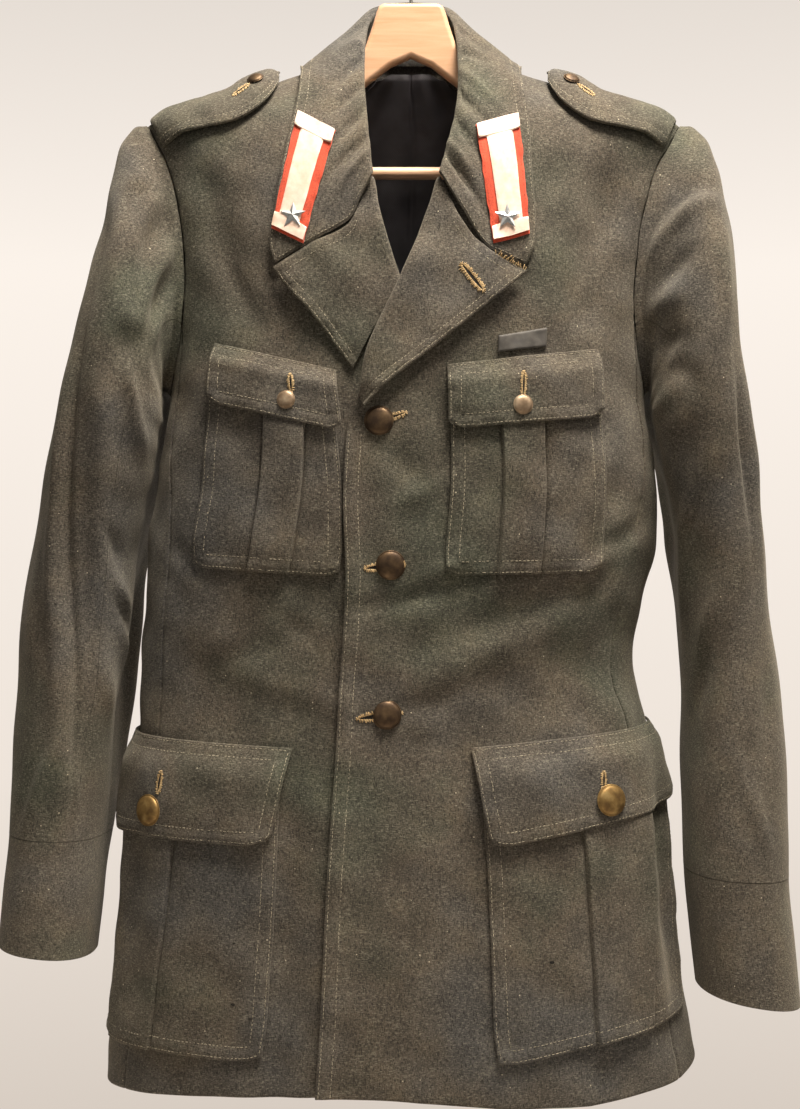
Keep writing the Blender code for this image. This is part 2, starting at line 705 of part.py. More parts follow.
def make_sleeves():
    slit = 0.0030  # radians, half the parting at a sleeve seam
    rings = np.append(np.arange(0, CUFF_AT), CUFF_AT - 0.008)[:, None]
    for name, side in SIDES.items():
        upper = np.arange(ARM_SEAM_BACK - 24, ARM_SEAM_FRONT + 1) * TURN
        upper[0] += slit
        upper[-1] -= slit
        under = np.arange(ARM_SEAM_FRONT, ARM_SEAM_BACK + 1) * TURN
        under[0] += slit
        under[-1] -= slit
        for piece, turns in (("upper", upper), ("under", under)):
            grid = np.broadcast_arrays(turns[None], rings)
            wall(
                f"sleeve_{name}_{piece}",
                sleeve(*grid, 0.0, side),
                sleeve(*grid, -WOOL, side),
                GREY_GREEN_WOOL,
            )
        around = np.arange(24) * TURN
        grid = np.broadcast_arrays(around[None], np.linspace(CUFF_AT, CUFF_END, 3)[:, None])
        wall(
            f"cuff_{name}",
            sleeve(*grid, CUFF_PROUD, side),
            sleeve(*grid, CUFF_PROUD - CUFF_THICK, side),
            GREY_GREEN_WOOL,
            closed=True,
        )


# ---------------------------------------------------------------- collar

# Sections of the collar from the middle of the back (0) to the gorge (8), wearer's left half.
# foot: seam on the neckline. crest: the roll. mid: middle of the fall. edge: free edge.
COLLAR_COLUMNS = ("foot", "crest", "mid", "edge")
COLLAR = (
    ((0.000, 0.0400, -0.1035), (0.000, 0.0410, -0.052), (0.000, 0.0500, -0.085), (0.000, 0.0525, -0.113)),
    ((0.024, 0.0360, -0.1035), (0.0175, 0.0385, -0.054), (0.031, 0.0460, -0.086), (0.036, 0.0460, -0.114)),
    ((0.044, 0.0265, -0.1060), (0.0300, 0.0270, -0.062), (0.055, 0.0295, -0.091), (0.067, 0.0320, -0.117)),
    ((0.0605, 0.0020, -0.1130), (0.0360, 0.0100, -0.078), (0.066, 0.0060, -0.098), (0.086, 0.0060, -0.1145)),
    (
        (0.0550, -0.0220, -0.1310), (0.0380, -0.0150, -0.104),
        (0.066, -0.0230, -0.121), (0.0865, -0.0340, -0.137),
    ),
    (
        (0.0490, -0.0370, -0.1510), (0.0375, -0.0340, -0.135),
        (0.066, -0.0450, -0.152), (0.0900, -0.0490, -0.166),
    ),
    (
        (0.0415, -0.0500, -0.1750), (0.0345, -0.0515, -0.166),
        (0.066, -0.0620, -0.190), (0.0955, -0.0645, -0.216),
    ),
    (
        (0.0330, -0.0615, -0.2000), (0.0295, -0.0655, -0.196),
        (0.060, -0.0705, -0.224), (0.1000, -0.0705, -0.263),
    ),
)
# Last section, at the gorge, for the wearer's left (1) and right (-1) half.
COLLAR_ENDS = {
    1: (
        (0.0300, -0.0705, -0.2195), (0.0262, -0.0745, -0.2150),
        (0.0635, -0.0745, -0.2705), (0.0952, -0.0730, -0.2845),
    ),
    -1: (
        (0.0300, -0.0705, -0.2195), (0.0262, -0.0745, -0.2150),
        (0.0417, -0.0755, -0.2505), (0.0943, -0.0730, -0.2826),
    ),
}
COLLAR_ROLL = 0.0032  # radius of the roll
FALL_CLEAR = 0.0034  # least height of the fall's middle off the fronts


def collar_section(s):
    """The four points of the section at s, 0 at the back to 8 at either gorge, negative on the right."""
    number = np.arange(len(COLLAR) + 1)
    far = np.abs(s)
    points = []
    for k in range(len(COLLAR_COLUMNS)):
        halves = []
        for sign in (1, -1):
            xyz = np.array([row[k] for row in (*COLLAR, COLLAR_ENDS[sign])])
            halves.append(np.stack([pchip(far, number, xyz[:, i]) for i in range(3)], axis=-1))
        read = np.where((s > 0)[..., None], *halves)
        read[..., 0] = read[..., 0] * np.sign(s)
        read[..., 0] += along(COLLAR_SHIFT, read[..., 2])
        points.append(read)
    return points


def clear_of_front(points, height, left):
    """Points moved out, where needed, to stand at least a height off the fronts."""
    z = np.minimum(points[..., 2], -0.117)
    f = quarters_of_x(points[..., 0], z)
    base, normal = cloth(f, z), normal_at(f, z)
    height = height + np.where(left, front_lift(f, z), 0.0)
    short = height - ((points - base) * normal).sum(-1)
    near = ease((-0.117 - points[..., 2]) / 0.006) * ease(-points[..., 1] / 0.006)
    return points + normal * (np.maximum(short, 0) * near)[..., None]


def collar(s, q):
    """Point of the collar: s along it, q across, 0 at the foot, 3 at the crest, 8 at the free edge."""
    s, q = np.broadcast_arrays(np.asarray(s, float), np.asarray(q, float))
    foot, crest, mid, edge = collar_section(s)
    base = (foot + mid) / 2
    up = crest - base
    up /= np.linalg.norm(up, axis=-1, keepdims=True)
    away = mid - foot
    away -= (away * up).sum(-1, keepdims=True) * up
    away /= np.linalg.norm(away, axis=-1, keepdims=True)
    inner = crest - COLLAR_ROLL * (away + 1.1 * up)
    outer = crest + COLLAR_ROLL * (away - 1.1 * up)
    knots = [foot, (foot + inner) / 2, inner, crest, outer, (outer + mid) / 2, mid, (mid + edge) / 2, edge]
    knots = np.stack(knots, axis=0)
    i = np.clip(q.astype(int), 0, 7)
    t = (q - i)[..., None]

    def knot(k):
        return np.take_along_axis(knots, np.clip(k, 0, 8)[None, ..., None], axis=0)[0]

    a, b, c, d = knot(i - 1), knot(i), knot(i + 1), knot(i + 2)
    a = np.where((i == 0)[..., None], 2 * b - c, a)
    d = np.where((i == 7)[..., None], 2 * c - b, d)
    point = 0.5 * (2 * b + (c - a) * t + (2 * a - 5 * b + 4 * c - d) * t**2 + (3 * b - a - 3 * c + d) * t**3)
    return np.where((q > 4)[..., None], clear_of_front(point, FALL_CLEAR, s > 0), point)


def collar_out(s, q, out):
    """Point off the collar's middle surface, outwards on the fall."""
    s, q, out = np.broadcast_arrays(np.asarray(s, float), np.asarray(q, float), np.asarray(out, float))
    along_it = collar(np.clip(s + 0.05, -8, 8), q) - collar(np.clip(s - 0.05, -8, 8), q)
    across = collar(s, np.clip(q + 0.1, 0, 8)) - collar(s, np.clip(q - 0.1, 0, 8))
    normal = np.cross(along_it, across)
    normal /= np.linalg.norm(normal, axis=-1, keepdims=True)
    return collar(s, q) + normal * out[..., None]


def make_collar():
    s = np.concatenate([-np.arange(8, 0, -0.8), [0], np.arange(8, 0, -0.8)[::-1]])[:, None]
    q = np.array([0, 1, 2, 3, 4, 5, 6, 7, 8])[None]
    wall("collar", collar_out(s, q, TWO_PLY / 2), collar_out(s, q, -TWO_PLY / 2), GREY_GREEN_WOOL)


SAMPLE_S, SAMPLE_Q = np.meshgrid(np.linspace(3.0, 8.0, 241), np.linspace(4.0, 8.0, 121), indexing="ij")
SAMPLES = {sign: collar(sign * SAMPLE_S, SAMPLE_Q) for sign in (1, -1)}


def collar_place(x, z, sign):
    """Collar coordinates of the point of the fall that is seen at (x, z) from the front."""
    points = SAMPLES[sign]
    step_s, step_q = SAMPLE_S[1, 0] - SAMPLE_S[0, 0], SAMPLE_Q[0, 1] - SAMPLE_Q[0, 0]
    found = []
    for px, pz in zip(np.ravel(x), np.ravel(z)):
        far = (points[..., 0] - px) ** 2 + (points[..., 2] - pz) ** 2
        i, j = np.unravel_index(np.argmin(far), far.shape)
        i, j = min(i, 239), min(j, 119)
        here = points[i, j][[0, 2]]
        to_s, to_q = points[i + 1, j][[0, 2]] - here, points[i, j + 1][[0, 2]] - here
        a, b = np.linalg.solve(np.stack([to_s, to_q], axis=1), np.array([px, pz]) - here)
        found.append((SAMPLE_S[i, j] + a * step_s, SAMPLE_Q[i, j] + b * step_q))
    found = np.array(found).reshape(*np.shape(x), 2)
    return sign * found[..., 0], found[..., 1]


# ---------------------------------------------------------------- lapels

# Gorge (top) and outer edge of each lapel, x and z, from the roll to the point and on to the break.
LAPEL_LEFT_GORGE = (
    (0.0210, -0.2178),
    (0.0272, -0.2330),
    (0.0344, -0.2490),
    (0.0560, -0.2745),
    (0.0862, -0.2895),
)
LAPEL_LEFT_EDGE = (
    (0.0862, -0.2895),
    (0.0339, -0.3338),
    (0.0092, -0.3535),
    (-0.0176, -0.3745),
    (-0.0430, -0.4000),
)
LAPEL_RIGHT_GORGE = (
    (-0.0290, -0.2175),
    (-0.0368, -0.2360),
    (-0.0456, -0.2547),
    (-0.0740, -0.2695),
    (-0.1035, -0.2862),
)
LAPEL_RIGHT_EDGE = (
    (-0.1035, -0.2862),
    (-0.0945, -0.2995),
    (-0.0785, -0.3167),
    (-0.0535, -0.3503),
    (-0.0395, -0.3690),
)
# Section of a lapel by its roll: distance from the roll line and height of the middle of the cloth.
LAPEL_ROLL = ((0.0030, -0.00105), (0.0012, -0.0008), (0.0, 0.0012), (0.0012, 0.0034), (0.0050, 0.0044))


def along_path(path, t):
    """Point at an even share t of a path."""
    points = np.array(path)
    run = np.concatenate([[0], np.cumsum(np.linalg.norm(np.diff(points, axis=0), axis=1))])
    return np.stack([pchip(t * run[-1], run, points[:, i]) for i in (0, 1)], axis=-1)


def front_point(x, z, out, sign):
    """Point on a front seen at (x, z), out metres off the cloth's face."""
    f = quarters_of_x(x, z)
    if sign > 0:
        out = out + front_lift(f, z)
    return cloth(f, z, out)


def lapel_grid(sign, r, q):
    """x, z and height of the cloth's middle: r from the gorge down, q from the roll (0) outwards (1)."""
    gorge, edge, roll = (
        (LAPEL_LEFT_GORGE, LAPEL_LEFT_EDGE, ROLL_LEFT_SIDE)
        if sign > 0
        else (LAPEL_RIGHT_GORGE, LAPEL_RIGHT_EDGE, ROLL_RIGHT_SIDE)
    )
    end = BREAK + 0.004 if sign > 0 else CROSSING - 0.005
    z_roll = GORGE + 0.0005 + (end - GORGE) * r
    start = np.stack([along(roll, z_roll), z_roll], axis=-1)
    stop = along_path(edge, r)
    flat = start * (1 - q[..., None]) + stop * q[..., None]
    first = np.array(gorge[0])
    last = np.array(gorge[-1])
    top = along_path(gorge, q)
    bend = top - (first * (1 - q[..., None]) + last * q[..., None])
    fade = (1 - r)[..., None] ** 2.2
    return flat + bend * fade


def lapel(sign, r, column, out=0.0, columns=9):
    """Point of the lapel at row share r and a column number, the first five round the roll."""
    r, column = np.broadcast_arrays(np.asarray(r, float), np.asarray(column, float))
    roll_columns = len(LAPEL_ROLL)
    number = np.arange(roll_columns)
    off = np.array(LAPEL_ROLL)
    wide = np.linalg.norm(lapel_grid(sign, r, r * 0 + 1) - lapel_grid(sign, r, r * 0), axis=-1)
    d = pchip(column, number, off[:, 0])
    high = pchip(column, number, off[:, 1])
    flat_share = np.clip((column - (roll_columns - 1)) / (columns - roll_columns), 0, 1)
    last = np.maximum(off[-1, 0] / wide, 0.0)
    q = np.where(column <= roll_columns - 1, np.minimum(d / wide, 0.9), last + (1 - last) * flat_share)
    high = np.where(column <= roll_columns - 1, high, off[-1, 1] - 0.0012 * flat_share)
    xz = lapel_grid(sign, r, q)
    return front_point(xz[..., 0], xz[..., 1], high + out, sign)


def make_lapels():
    for name, sign in (("lapel_left", 1), ("lapel_right", -1)):
        r = np.linspace(0.004, 0.93, 10)[:, None]
        column = np.arange(9)[None]
        middle = lapel(sign, r, column)
        step = 0.01
        low, high = np.clip(r - step, 0, 1), np.clip(r + step, 0, 1)
        down = lapel(sign, high, column) - lapel(sign, low, column)
        back, ahead = np.clip(column - 0.05, 0, 8), np.clip(column + 0.05, 0, 8)
        across = lapel(sign, r, ahead) - lapel(sign, r, back)
        normal = np.cross(down, across) * sign
        normal /= np.linalg.norm(normal, axis=-1, keepdims=True)
        wall(name, middle + normal * WOOL / 2, middle - normal * WOOL / 2, GREY_GREEN_WOOL)


# ---------------------------------------------------------------- pockets

# Pockets on the fronts, u and z in metres. For bag and flap: the four corners from the
# upper inner one outwards and down: upper inner, upper outer, lower outer, lower inner.
POCKETS = {
    "chest_left": {
        "bag": ((0.0318, -0.3700), (0.1470, -0.3580), (0.1562, -0.5150), (0.0325, -0.5175)),
        "flap": ((0.0292, -0.3602), (0.1471, -0.3454), (0.1484, -0.3985), (0.0300, -0.4090)),
        "pleat": ((0.0690, 0.1008), (0.0738, 0.1056)),
        "button": (0.0847, -0.3905, 0.0075),
    },
    "chest_right": {
        "bag": ((-0.0560, -0.3790), (-0.1512, -0.3550), (-0.1626, -0.5110), (-0.0420, -0.5185)),
        "flap": ((-0.0535, -0.3640), (-0.1508, -0.3406), (-0.1520, -0.3870), (-0.0480, -0.4105)),
        "pleat": ((-0.0748, -0.1055), (-0.0824, -0.1138)),
        "button": (-0.0892, -0.3867, 0.0070),
    },
    "lower_left": {
        "bag": ((0.0640, -0.6600), (0.2400, -0.6440), (0.2440, -0.8500), (0.0690, -0.8805)),
        "flap": ((0.0578, -0.6456), (0.2420, -0.6300), (0.2510, -0.6880), (0.0685, -0.7205)),
        "pleat": ((0.1370, 0.2000), (0.1470, 0.1930)),
        "button": (0.1597, -0.6865, 0.0109),
    },
    "lower_right": {
        "bag": ((-0.0850, -0.6600), (-0.2640, -0.6520), (-0.2850, -0.8720), (-0.1010, -0.8775)),
        "flap": ((-0.0757, -0.6458), (-0.2600, -0.6370), (-0.2790, -0.7130), (-0.0945, -0.7185)),
        "pleat": ((-0.1620, -0.2140), (-0.1935, -0.2400)),
        "button": (-0.1882, -0.6958, 0.0109),
    },
}
CLEAR = 0.0003  # parting between a piece and what it lies on
# Height of a pocket's inner face over the rounded front, by row of pockets.
UNDER = {"chest": 0.0013, "lower": 0.0019}
PLEAT_RISE = 0.0017  # of the box pleat's face over the bag's
FLAP_RISE = PLEAT_RISE + 0.0018 + WOOL  # of the flap's face over the bag's
FLAP_SEAT = 0.0005  # the flap's sewn edge lies this much lower than the bag
ROUNDED = 0.007  # rounding of lower corners


def on_front(u, z, out, top_front):
    """Point on the fronts or side bodies at distance u round and level z."""
    f = quarters(u, z)
    if top_front:
        out = np.asarray(out, float) + front_lift(f, z)
    return cloth(f, z, out)


def four_sided(corners, a, b):
    """u and z at shares a (inner to outer) and b (top to bottom), the lower corners drawn in."""
    (u0, z0), (u1, z1), (u2, z2), (u3, z3) = corners
    u = (u0 * (1 - a) + u1 * a) * (1 - b) + (u3 * (1 - a) + u2 * a) * b
    z = (z0 * (1 - a) + z1 * a) * (1 - b) + (z3 * (1 - a) + z2 * a) * b
    corner = ease((b - 0.86) / 0.14) * (ease((0.10 - a) / 0.10) + ease((a - 0.90) / 0.10))
    side = np.where(a < 0.5, 1.0, -1.0) * np.sign(u2 - u3)
    return u + side * corner * ROUNDED * 0.3, z + corner * ROUNDED * 0.5


def make_pockets():
    for name, pocket in POCKETS.items():
        corners = pocket["bag"]
        (top_a, top_b), (low_a, low_b) = pocket["pleat"]
        left = name.endswith("left")
        under = UNDER[name.split("_")[0]]
        bag = under + WOOL
        b = np.array([0, 0.22, 0.45, 0.68, 0.90, 1.0])[:, None]
        inner_u = corners[0][0] * (1 - b) + corners[3][0] * b
        outer_u = corners[1][0] * (1 - b) + corners[2][0] * b
        first = (top_a * (1 - b) + low_a * b - inner_u) / (outer_u - inner_u)
        second = (top_b * (1 - b) + low_b * b - inner_u) / (outer_u - inner_u)
        step = 0.0014 / np.abs(outer_u - inner_u)
        zero = np.zeros_like(b)
        shares = [zero, zero + 0.08, first / 2 + 0.04, first - step, first + step, (first + second) / 2]
        shares += [second - step, second + step, (second + 1) / 2 - 0.04, zero + 0.92, zero + 1]
        a = np.concatenate(shares, axis=1)
        raised = np.zeros(11)
        raised[4:7] = 1
        u, z = four_sided(corners, a, b + 0 * a)
        face = bag + PLEAT_RISE * raised[None] + 0 * a
        wall(
            f"{name}_pocket",
            on_front(u, z, face, left),
            on_front(u, z, under, left),
            GREY_GREEN_WOOL,
        )

        a, b = np.broadcast_arrays(np.linspace(0, 1, 9)[None], np.array([0, 0.10, 0.4, 0.8, 1.0])[:, None])
        u, z = four_sided(pocket["flap"], a, b)
        face = bag - FLAP_SEAT + ease(b / 0.12) * (FLAP_RISE + FLAP_SEAT)
        wall(
            f"{name}_flap",
            on_front(u, z, face, left),
            on_front(u, z, face - WOOL, left),
            GREY_GREEN_WOOL,
        )


# ---------------------------------------------------------------- buttons and small metal


def place_frame(centre, u_point, z_point):
    """Matrix whose Z is the cloth's normal at centre."""
    across = Vector(u_point - centre).normalized()
    up = Vector(z_point - centre).normalized()
    normal = across.cross(up).normalized()
    if normal.y > 0:
        normal = -normal
    up = normal.cross(across).normalized()
    matrix = Matrix((across, up, normal)).transposed().to_4x4()
    matrix.translation = Vector(centre)
    return matrix


def button(name, matrix, radius):
    """Domed button: a turned profile from the crown down the outside to the flat back."""
    profile = (
        (0.00, 0.40),
        (0.40, 0.36),
        (0.74, 0.25),
        (0.94, 0.11),
        (1.00, 0.05),
        (0.94, 0.00),
        (0.00, 0.00),
    )
    mesh = bpy.data.meshes.new(name)
    points = [(x * radius, 0.0, z * radius) for x, z in profile]
    mesh.from_pydata(points, [(i, i + 1) for i in range(len(points) - 1)], [])
    obj = add_object(name, mesh, BROWNED_BRASS)
    turned = obj.modifiers.new("turned", "SCREW")
    turned.axis = "Z"
    turned.steps = 14
    turned.render_steps = 14
    turned.use_merge_vertices = True
    turned.merge_threshold = 0.00001
    turned.use_smooth_shade = True
    obj.matrix_world = matrix


def cloth_frame(u, z, out, top_front):
    return place_frame(
        on_front(np.array(u), np.array(z), out, top_front),
        on_front(np.array(u + 0.004), np.array(z), out, top_front),
        on_front(np.array(u), np.array(z + 0.004), out, top_front),
    )


FRONT_BUTTONS = ((-0.0213, -0.4020), (-0.0067, -0.5094), (-0.0028, -0.6207))
FRONT_BUTTON = 0.0111


def make_buttons():
    for number, (u, z) in enumerate(FRONT_BUTTONS, 1):
        button(f"front_button_{number}", cloth_frame(u, z, CLEAR, True), FRONT_BUTTON)
    for name, pocket in POCKETS.items():
        u, z, radius = pocket["button"]
        out = UNDER[name.split("_")[0]] + WOOL + FLAP_RISE + CLEAR
        button(f"{name}_button", cloth_frame(u, z, out, name.endswith("left")), radius)


# ---------------------------------------------------------------- shoulder straps

# Stations of a strap from the sleeve seam (0) to the tip (6): |x|, y, z of its two edges.
STRAP_COLUMNS = ("back", "front")
STRAP = (
    ((0.2085, 0.003, -0.1592), (0.1950, -0.0250, -0.1848)),
    ((0.1870, 0.004, -0.1460), (0.1780, -0.0380, -0.1755)),
    ((0.1650, 0.003, -0.1390), (0.1620, -0.0420, -0.1725)),
    ((0.1480, 0.002, -0.1335), (0.1400, -0.0460, -0.1690)),
    ((0.1300, 0.000, -0.1225), (0.1230, -0.0440, -0.1600)),
    ((0.1140, -0.004, -0.1190), (0.1100, -0.0340, -0.1450)),
    ((0.1050, -0.010, -0.1215), (0.1050, -0.0190, -0.1310)),
)
# Rise of the strap's middle over its edges, by station.
STRAP_CROWN = ((0.0, 0.0102), (0.4, 0.0110), (1.2, 0.0085), (3.0, 0.0085), (5.0, 0.0060), (6.0, 0.0015))
STRAP_SHIFT = 0.0018  # both straps lie this far towards +X
STRAP_UP = (0.25, -0.58, 0.78)  # the way the middle rises
STRAP_BUTTON = (4.35, 0.50, 0.0066)  # station, share across, radius


def strap_middle(t, c, sign):
    """Point of the strap's middle surface: station t, share c from the back edge to the front one."""
    number = np.arange(len(STRAP))
    edges = []
    for k in range(len(STRAP_COLUMNS)):
        xyz = np.array([row[k] for row in STRAP])
        edges.append(np.stack([pchip(t, number, xyz[:, i]) for i in range(3)], axis=-1))
    share = c[..., None]
    point = edges[0] * (1 - share) + edges[1] * share
    rise = (along(STRAP_CROWN, t) * 4 * c * (1 - c))[..., None]
    point = point + rise * np.array(STRAP_UP)
    point[..., 0] = point[..., 0] * sign + STRAP_SHIFT
    return point


def strap(t, c, out, sign):
    t, c = np.broadcast_arrays(np.asarray(t, float), np.asarray(c, float))
    last = len(STRAP) - 1
    ahead, behind = np.clip(t + 0.1, 0, last), np.clip(t - 0.1, 0, last)
    along_it = strap_middle(ahead, c, sign) - strap_middle(behind, c, sign)
    across = strap_middle(t, np.clip(c + 0.05, 0, 1), sign) - strap_middle(t, np.clip(c - 0.05, 0, 1), sign)
    normal = np.cross(along_it, across) * sign
    normal /= np.linalg.norm(normal, axis=-1, keepdims=True)
    return strap_middle(t, c, sign) + normal * out


def make_straps():
    t = np.array([0, 0.3, 0.7, 1.2, 2.0, 3.0, 4.0, 4.7, 5.3, 5.7, 6.0])[:, None]
    c = np.linspace(0, 1, 6)[None]
    station, share, radius = STRAP_BUTTON
    for name, sign in (("left", 1), ("right", -1)):
        wall(
            f"shoulder_strap_{name}",
            strap(t, c, TWO_PLY / 2, sign),
            strap(t, c, -TWO_PLY / 2, sign),
            GREY_GREEN_WOOL,
        )
        top = TWO_PLY / 2 + CLEAR
        matrix = place_frame(
            strap(station, share, top, sign),
            strap(station - 0.05 * sign, share, top, sign),
            strap(station, share - 0.05, top, sign),
        )
        button(f"strap_button_{name}", matrix, radius)


# ---------------------------------------------------------------- patches, ribbon and lining

# Collar patches as seen from the front, x and z: top outer, top inner, bottom inner, bottom outer.
PATCHES = {
    1: ((0.0815, -0.1665), (0.0488, -0.1762), (0.0608, -0.2693), (0.0885, -0.2610)),
    -1: ((-0.0865, -0.1638), (-0.0575, -0.1810), (-0.0812, -0.2688), (-0.1055, -0.2565)),
}
# Cream strip on a patch: b from the top (0) to the bottom (1), and its edges from outer to inner.
STRIP = (
    (0.005, 0.01, 0.99),
    (0.125, 0.01, 0.99),
    (0.135, 0.19, 0.80),
    (0.32, 0.18, 0.79),
    (0.50, 0.17, 0.78),
    (0.68, 0.17, 0.77),
    (0.855, 0.16, 0.76),
    (0.865, 0.01, 0.99),
    (0.975, 0.01, 0.99),
)
PATCH_CLEAR = 0.0007  # the patch's back off the curved fall
PATCH_THICK = 0.0011
STRIP_CLEAR = 0.0005
STRIP_THICK = 0.0007
STARS = {1: (0.0712, -0.2492), -1: (-0.0885, -0.2478)}
STAR_RADIUS = 0.0102
STAR_HEIGHT = 0.0022
STAR_RIM = 0.0006
RIBBON = ((0.0671, -0.3380), (0.1045, -0.3311), (0.1045, -0.3456), (0.0671, -0.3505))
RIBBON_FACE = 0.0026
RIBBON_BACK = 0.0010
LINING_COLUMNS = (4, 9)  # the back's columns that the lining covers
LINING_LEVELS = (-0.340, -0.109)
LINING_THICK = 0.0009
LINING_CLEAR = 0.0005


def patch_grid(corners, a, b):
    """x and z of the patch at share a from the outer edge to the inner and b downwards."""
    (x0, z0), (x1, z1), (x2, z2), (x3, z3) = corners
    x = (x0 * (1 - a) + x1 * a) * (1 - b) + (x3 * (1 - a) + x2 * a) * b
    z = (z0 * (1 - a) + z1 * a) * (1 - b) + (z3 * (1 - a) + z2 * a) * b
    return x, z


def on_collar(x, z, out, sign):
    """Point off the collar's face that is seen at (x, z)."""
    s, q = collar_place(x, z, sign)
    return collar_out(s, q, TWO_PLY / 2 + out)


def star(name, matrix, points=5):
    """Five-pointed star with a ridge to each point and a hollow between, on a thin rim."""
    outline = []
    for k in range(2 * points):
        radius = STAR_RADIUS * (1.0 if k % 2 == 0 else 0.40)
        turn = math.pi / 2 + k * math.pi / points
        outline.append((radius * math.cos(turn), radius * math.sin(turn)))
    count = len(outline)
    vertices = [(x, y, 0.0) for x, y in outline] + [(x, y, STAR_RIM) for x, y in outline]
    vertices += [(0.0, 0.0, 0.0), (0.0, 0.0, STAR_HEIGHT)]
    faces = []
    for k in range(count):
        after = (k + 1) % count
        faces.append((k, after, after + count, k + count))
        faces.append((k + count, after + count, 2 * count + 1))
        faces.append((after, k, 2 * count))
    mesh = bpy.data.meshes.new(name)
    mesh.from_pydata(vertices, [], faces)
    obj = add_object(name, mesh, SILVER_METAL)
    obj.matrix_world = matrix


def make_trim():
    for name, sign in (("left", 1), ("right", -1)):
        corners = PATCHES[sign]
        a, b = np.broadcast_arrays(np.linspace(0, 1, 4)[None], np.linspace(0, 1, 9)[:, None])
        x, z = patch_grid(corners, a, b)
        wall(
            f"collar_patch_{name}",
            on_collar(x, z, PATCH_CLEAR + PATCH_THICK, sign),
            on_collar(x, z, PATCH_CLEAR, sign),
            RED_CLOTH,
        )
        b, low, high = (column[:, None] for column in table(STRIP))
        t = np.linspace(0, 1, 4)[None]
        x, z = patch_grid(corners, low * (1 - t) + high * t, b + 0 * t)
        under = PATCH_CLEAR + PATCH_THICK + STRIP_CLEAR
        wall(
            f"collar_strip_{name}",
            on_collar(x, z, under + STRIP_THICK, sign),
            on_collar(x, z, under, sign),
            CREAM_RIBBON,
        )
        x, z = STARS[sign]
        top = under + STRIP_THICK + CLEAR
        step = 0.006
        star(
            f"collar_star_{name}",
            place_frame(
                on_collar(x, z, top, sign),
                on_collar(x + step, z, top, sign),
                on_collar(x, z + step, top, sign),
            ),
        )

    a, b = np.broadcast_arrays(np.linspace(0, 1, 5)[None], np.array([0.0, 1.0])[:, None])
    u, z = patch_grid(RIBBON, a, b)
    wall(
        "ribbon_bar",
        on_front(u, z, RIBBON_FACE, True),
        on_front(u, z, RIBBON_BACK, True),
        GREY_RIBBON,
    )

    f, z = back_grid()
    rows = (z[:, 0] > LINING_LEVELS[0]) & (z[:, 0] < LINING_LEVELS[1])
    f, z = f[rows, LINING_COLUMNS[0] : LINING_COLUMNS[1]], z[rows, LINING_COLUMNS[0] : LINING_COLUMNS[1]]
    panel("neck_lining", f, z, -WOOL - LINING_CLEAR, DARK_LINING, LINING_THICK)


# ---------------------------------------------------------------- hanger

HANGER_THICK = 0.012
HANGER_ROUND = 0.0016  # rounding of the hanger's long edges
# Half outline of the hanger's body, |x| and z, from the middle of its top to the arm.
HANGER_TOP = (
    (0.0, -0.0655),
    (0.0215, -0.0655),
    (0.0252, -0.0675),
    (0.0272, -0.0720),
    (0.0308, -0.0840),
    (0.0362, -0.1000),
    (0.0490, -0.1150),
    (0.0600, -0.1228),
)
HANGER_REACH = (0.080, 0.193)  # |x| between which the arm lies under the shoulder seam
HANGER_DROP = 0.0048  # depth of the arm's top under the shoulder's outer face
# End and underside, from the arm's tip back to the middle.
HANGER_UNDER = (
    (0.1985, -0.182),
    (0.1975, -0.203),
    (0.1935, -0.209),
    (0.1870, -0.210),
    (0.1825, -0.206),
    (0.1822, -0.191),
    (0.1760, -0.186),
    (0.1500, -0.177),
    (0.0720, -0.1530),
    (0.0373, -0.1315),
    (0.0160, -0.1150),
    (0.0, -0.1080),
)
BAR_RADIUS = 0.0050
BAR_LEVEL = -0.1994
BAR_HALF = 0.1818
WIRE = 0.0015  # radius of the hook's wire
HOOK_RADIUS = 0.0195  # of the wire's middle line
HOOK_CENTRE = (0.0, -0.0180)
HOOK_STEM = ((0.0, -0.0652), (0.0, -0.0500), (0.0012, -0.0455), (0.0050, -0.0400))
HOOK_ARC = (-50, 212)  # degrees, from the stem over the top to the tip


def ridge_level(x):
    """Level of the shoulder's ridge at |x|."""
    order = np.argsort(ring("half", LEVELS[LEVELS > SHOULDER]))
    return np.interp(x, ring("half", LEVELS[LEVELS > SHOULDER])[order], LEVELS[LEVELS > SHOULDER][order])


def add_curve(name, points, look, closed):
    """Object from a polyline in the XZ plane."""
    data = bpy.data.curves.new(name, "CURVE")
    spline = data.splines.new("POLY")
    spline.points.add(len(points) - 1)
    for point, (x, z) in zip(spline.points, points):
        point.co = (x, z, 0.0, 1.0)
    spline.use_cyclic_u = closed
    data.materials.append(look)
    obj = bpy.data.objects.new(name, data)
    obj.rotation_euler = (math.pi / 2, 0.0, 0.0)
    PARTS.objects.link(obj)
    return data


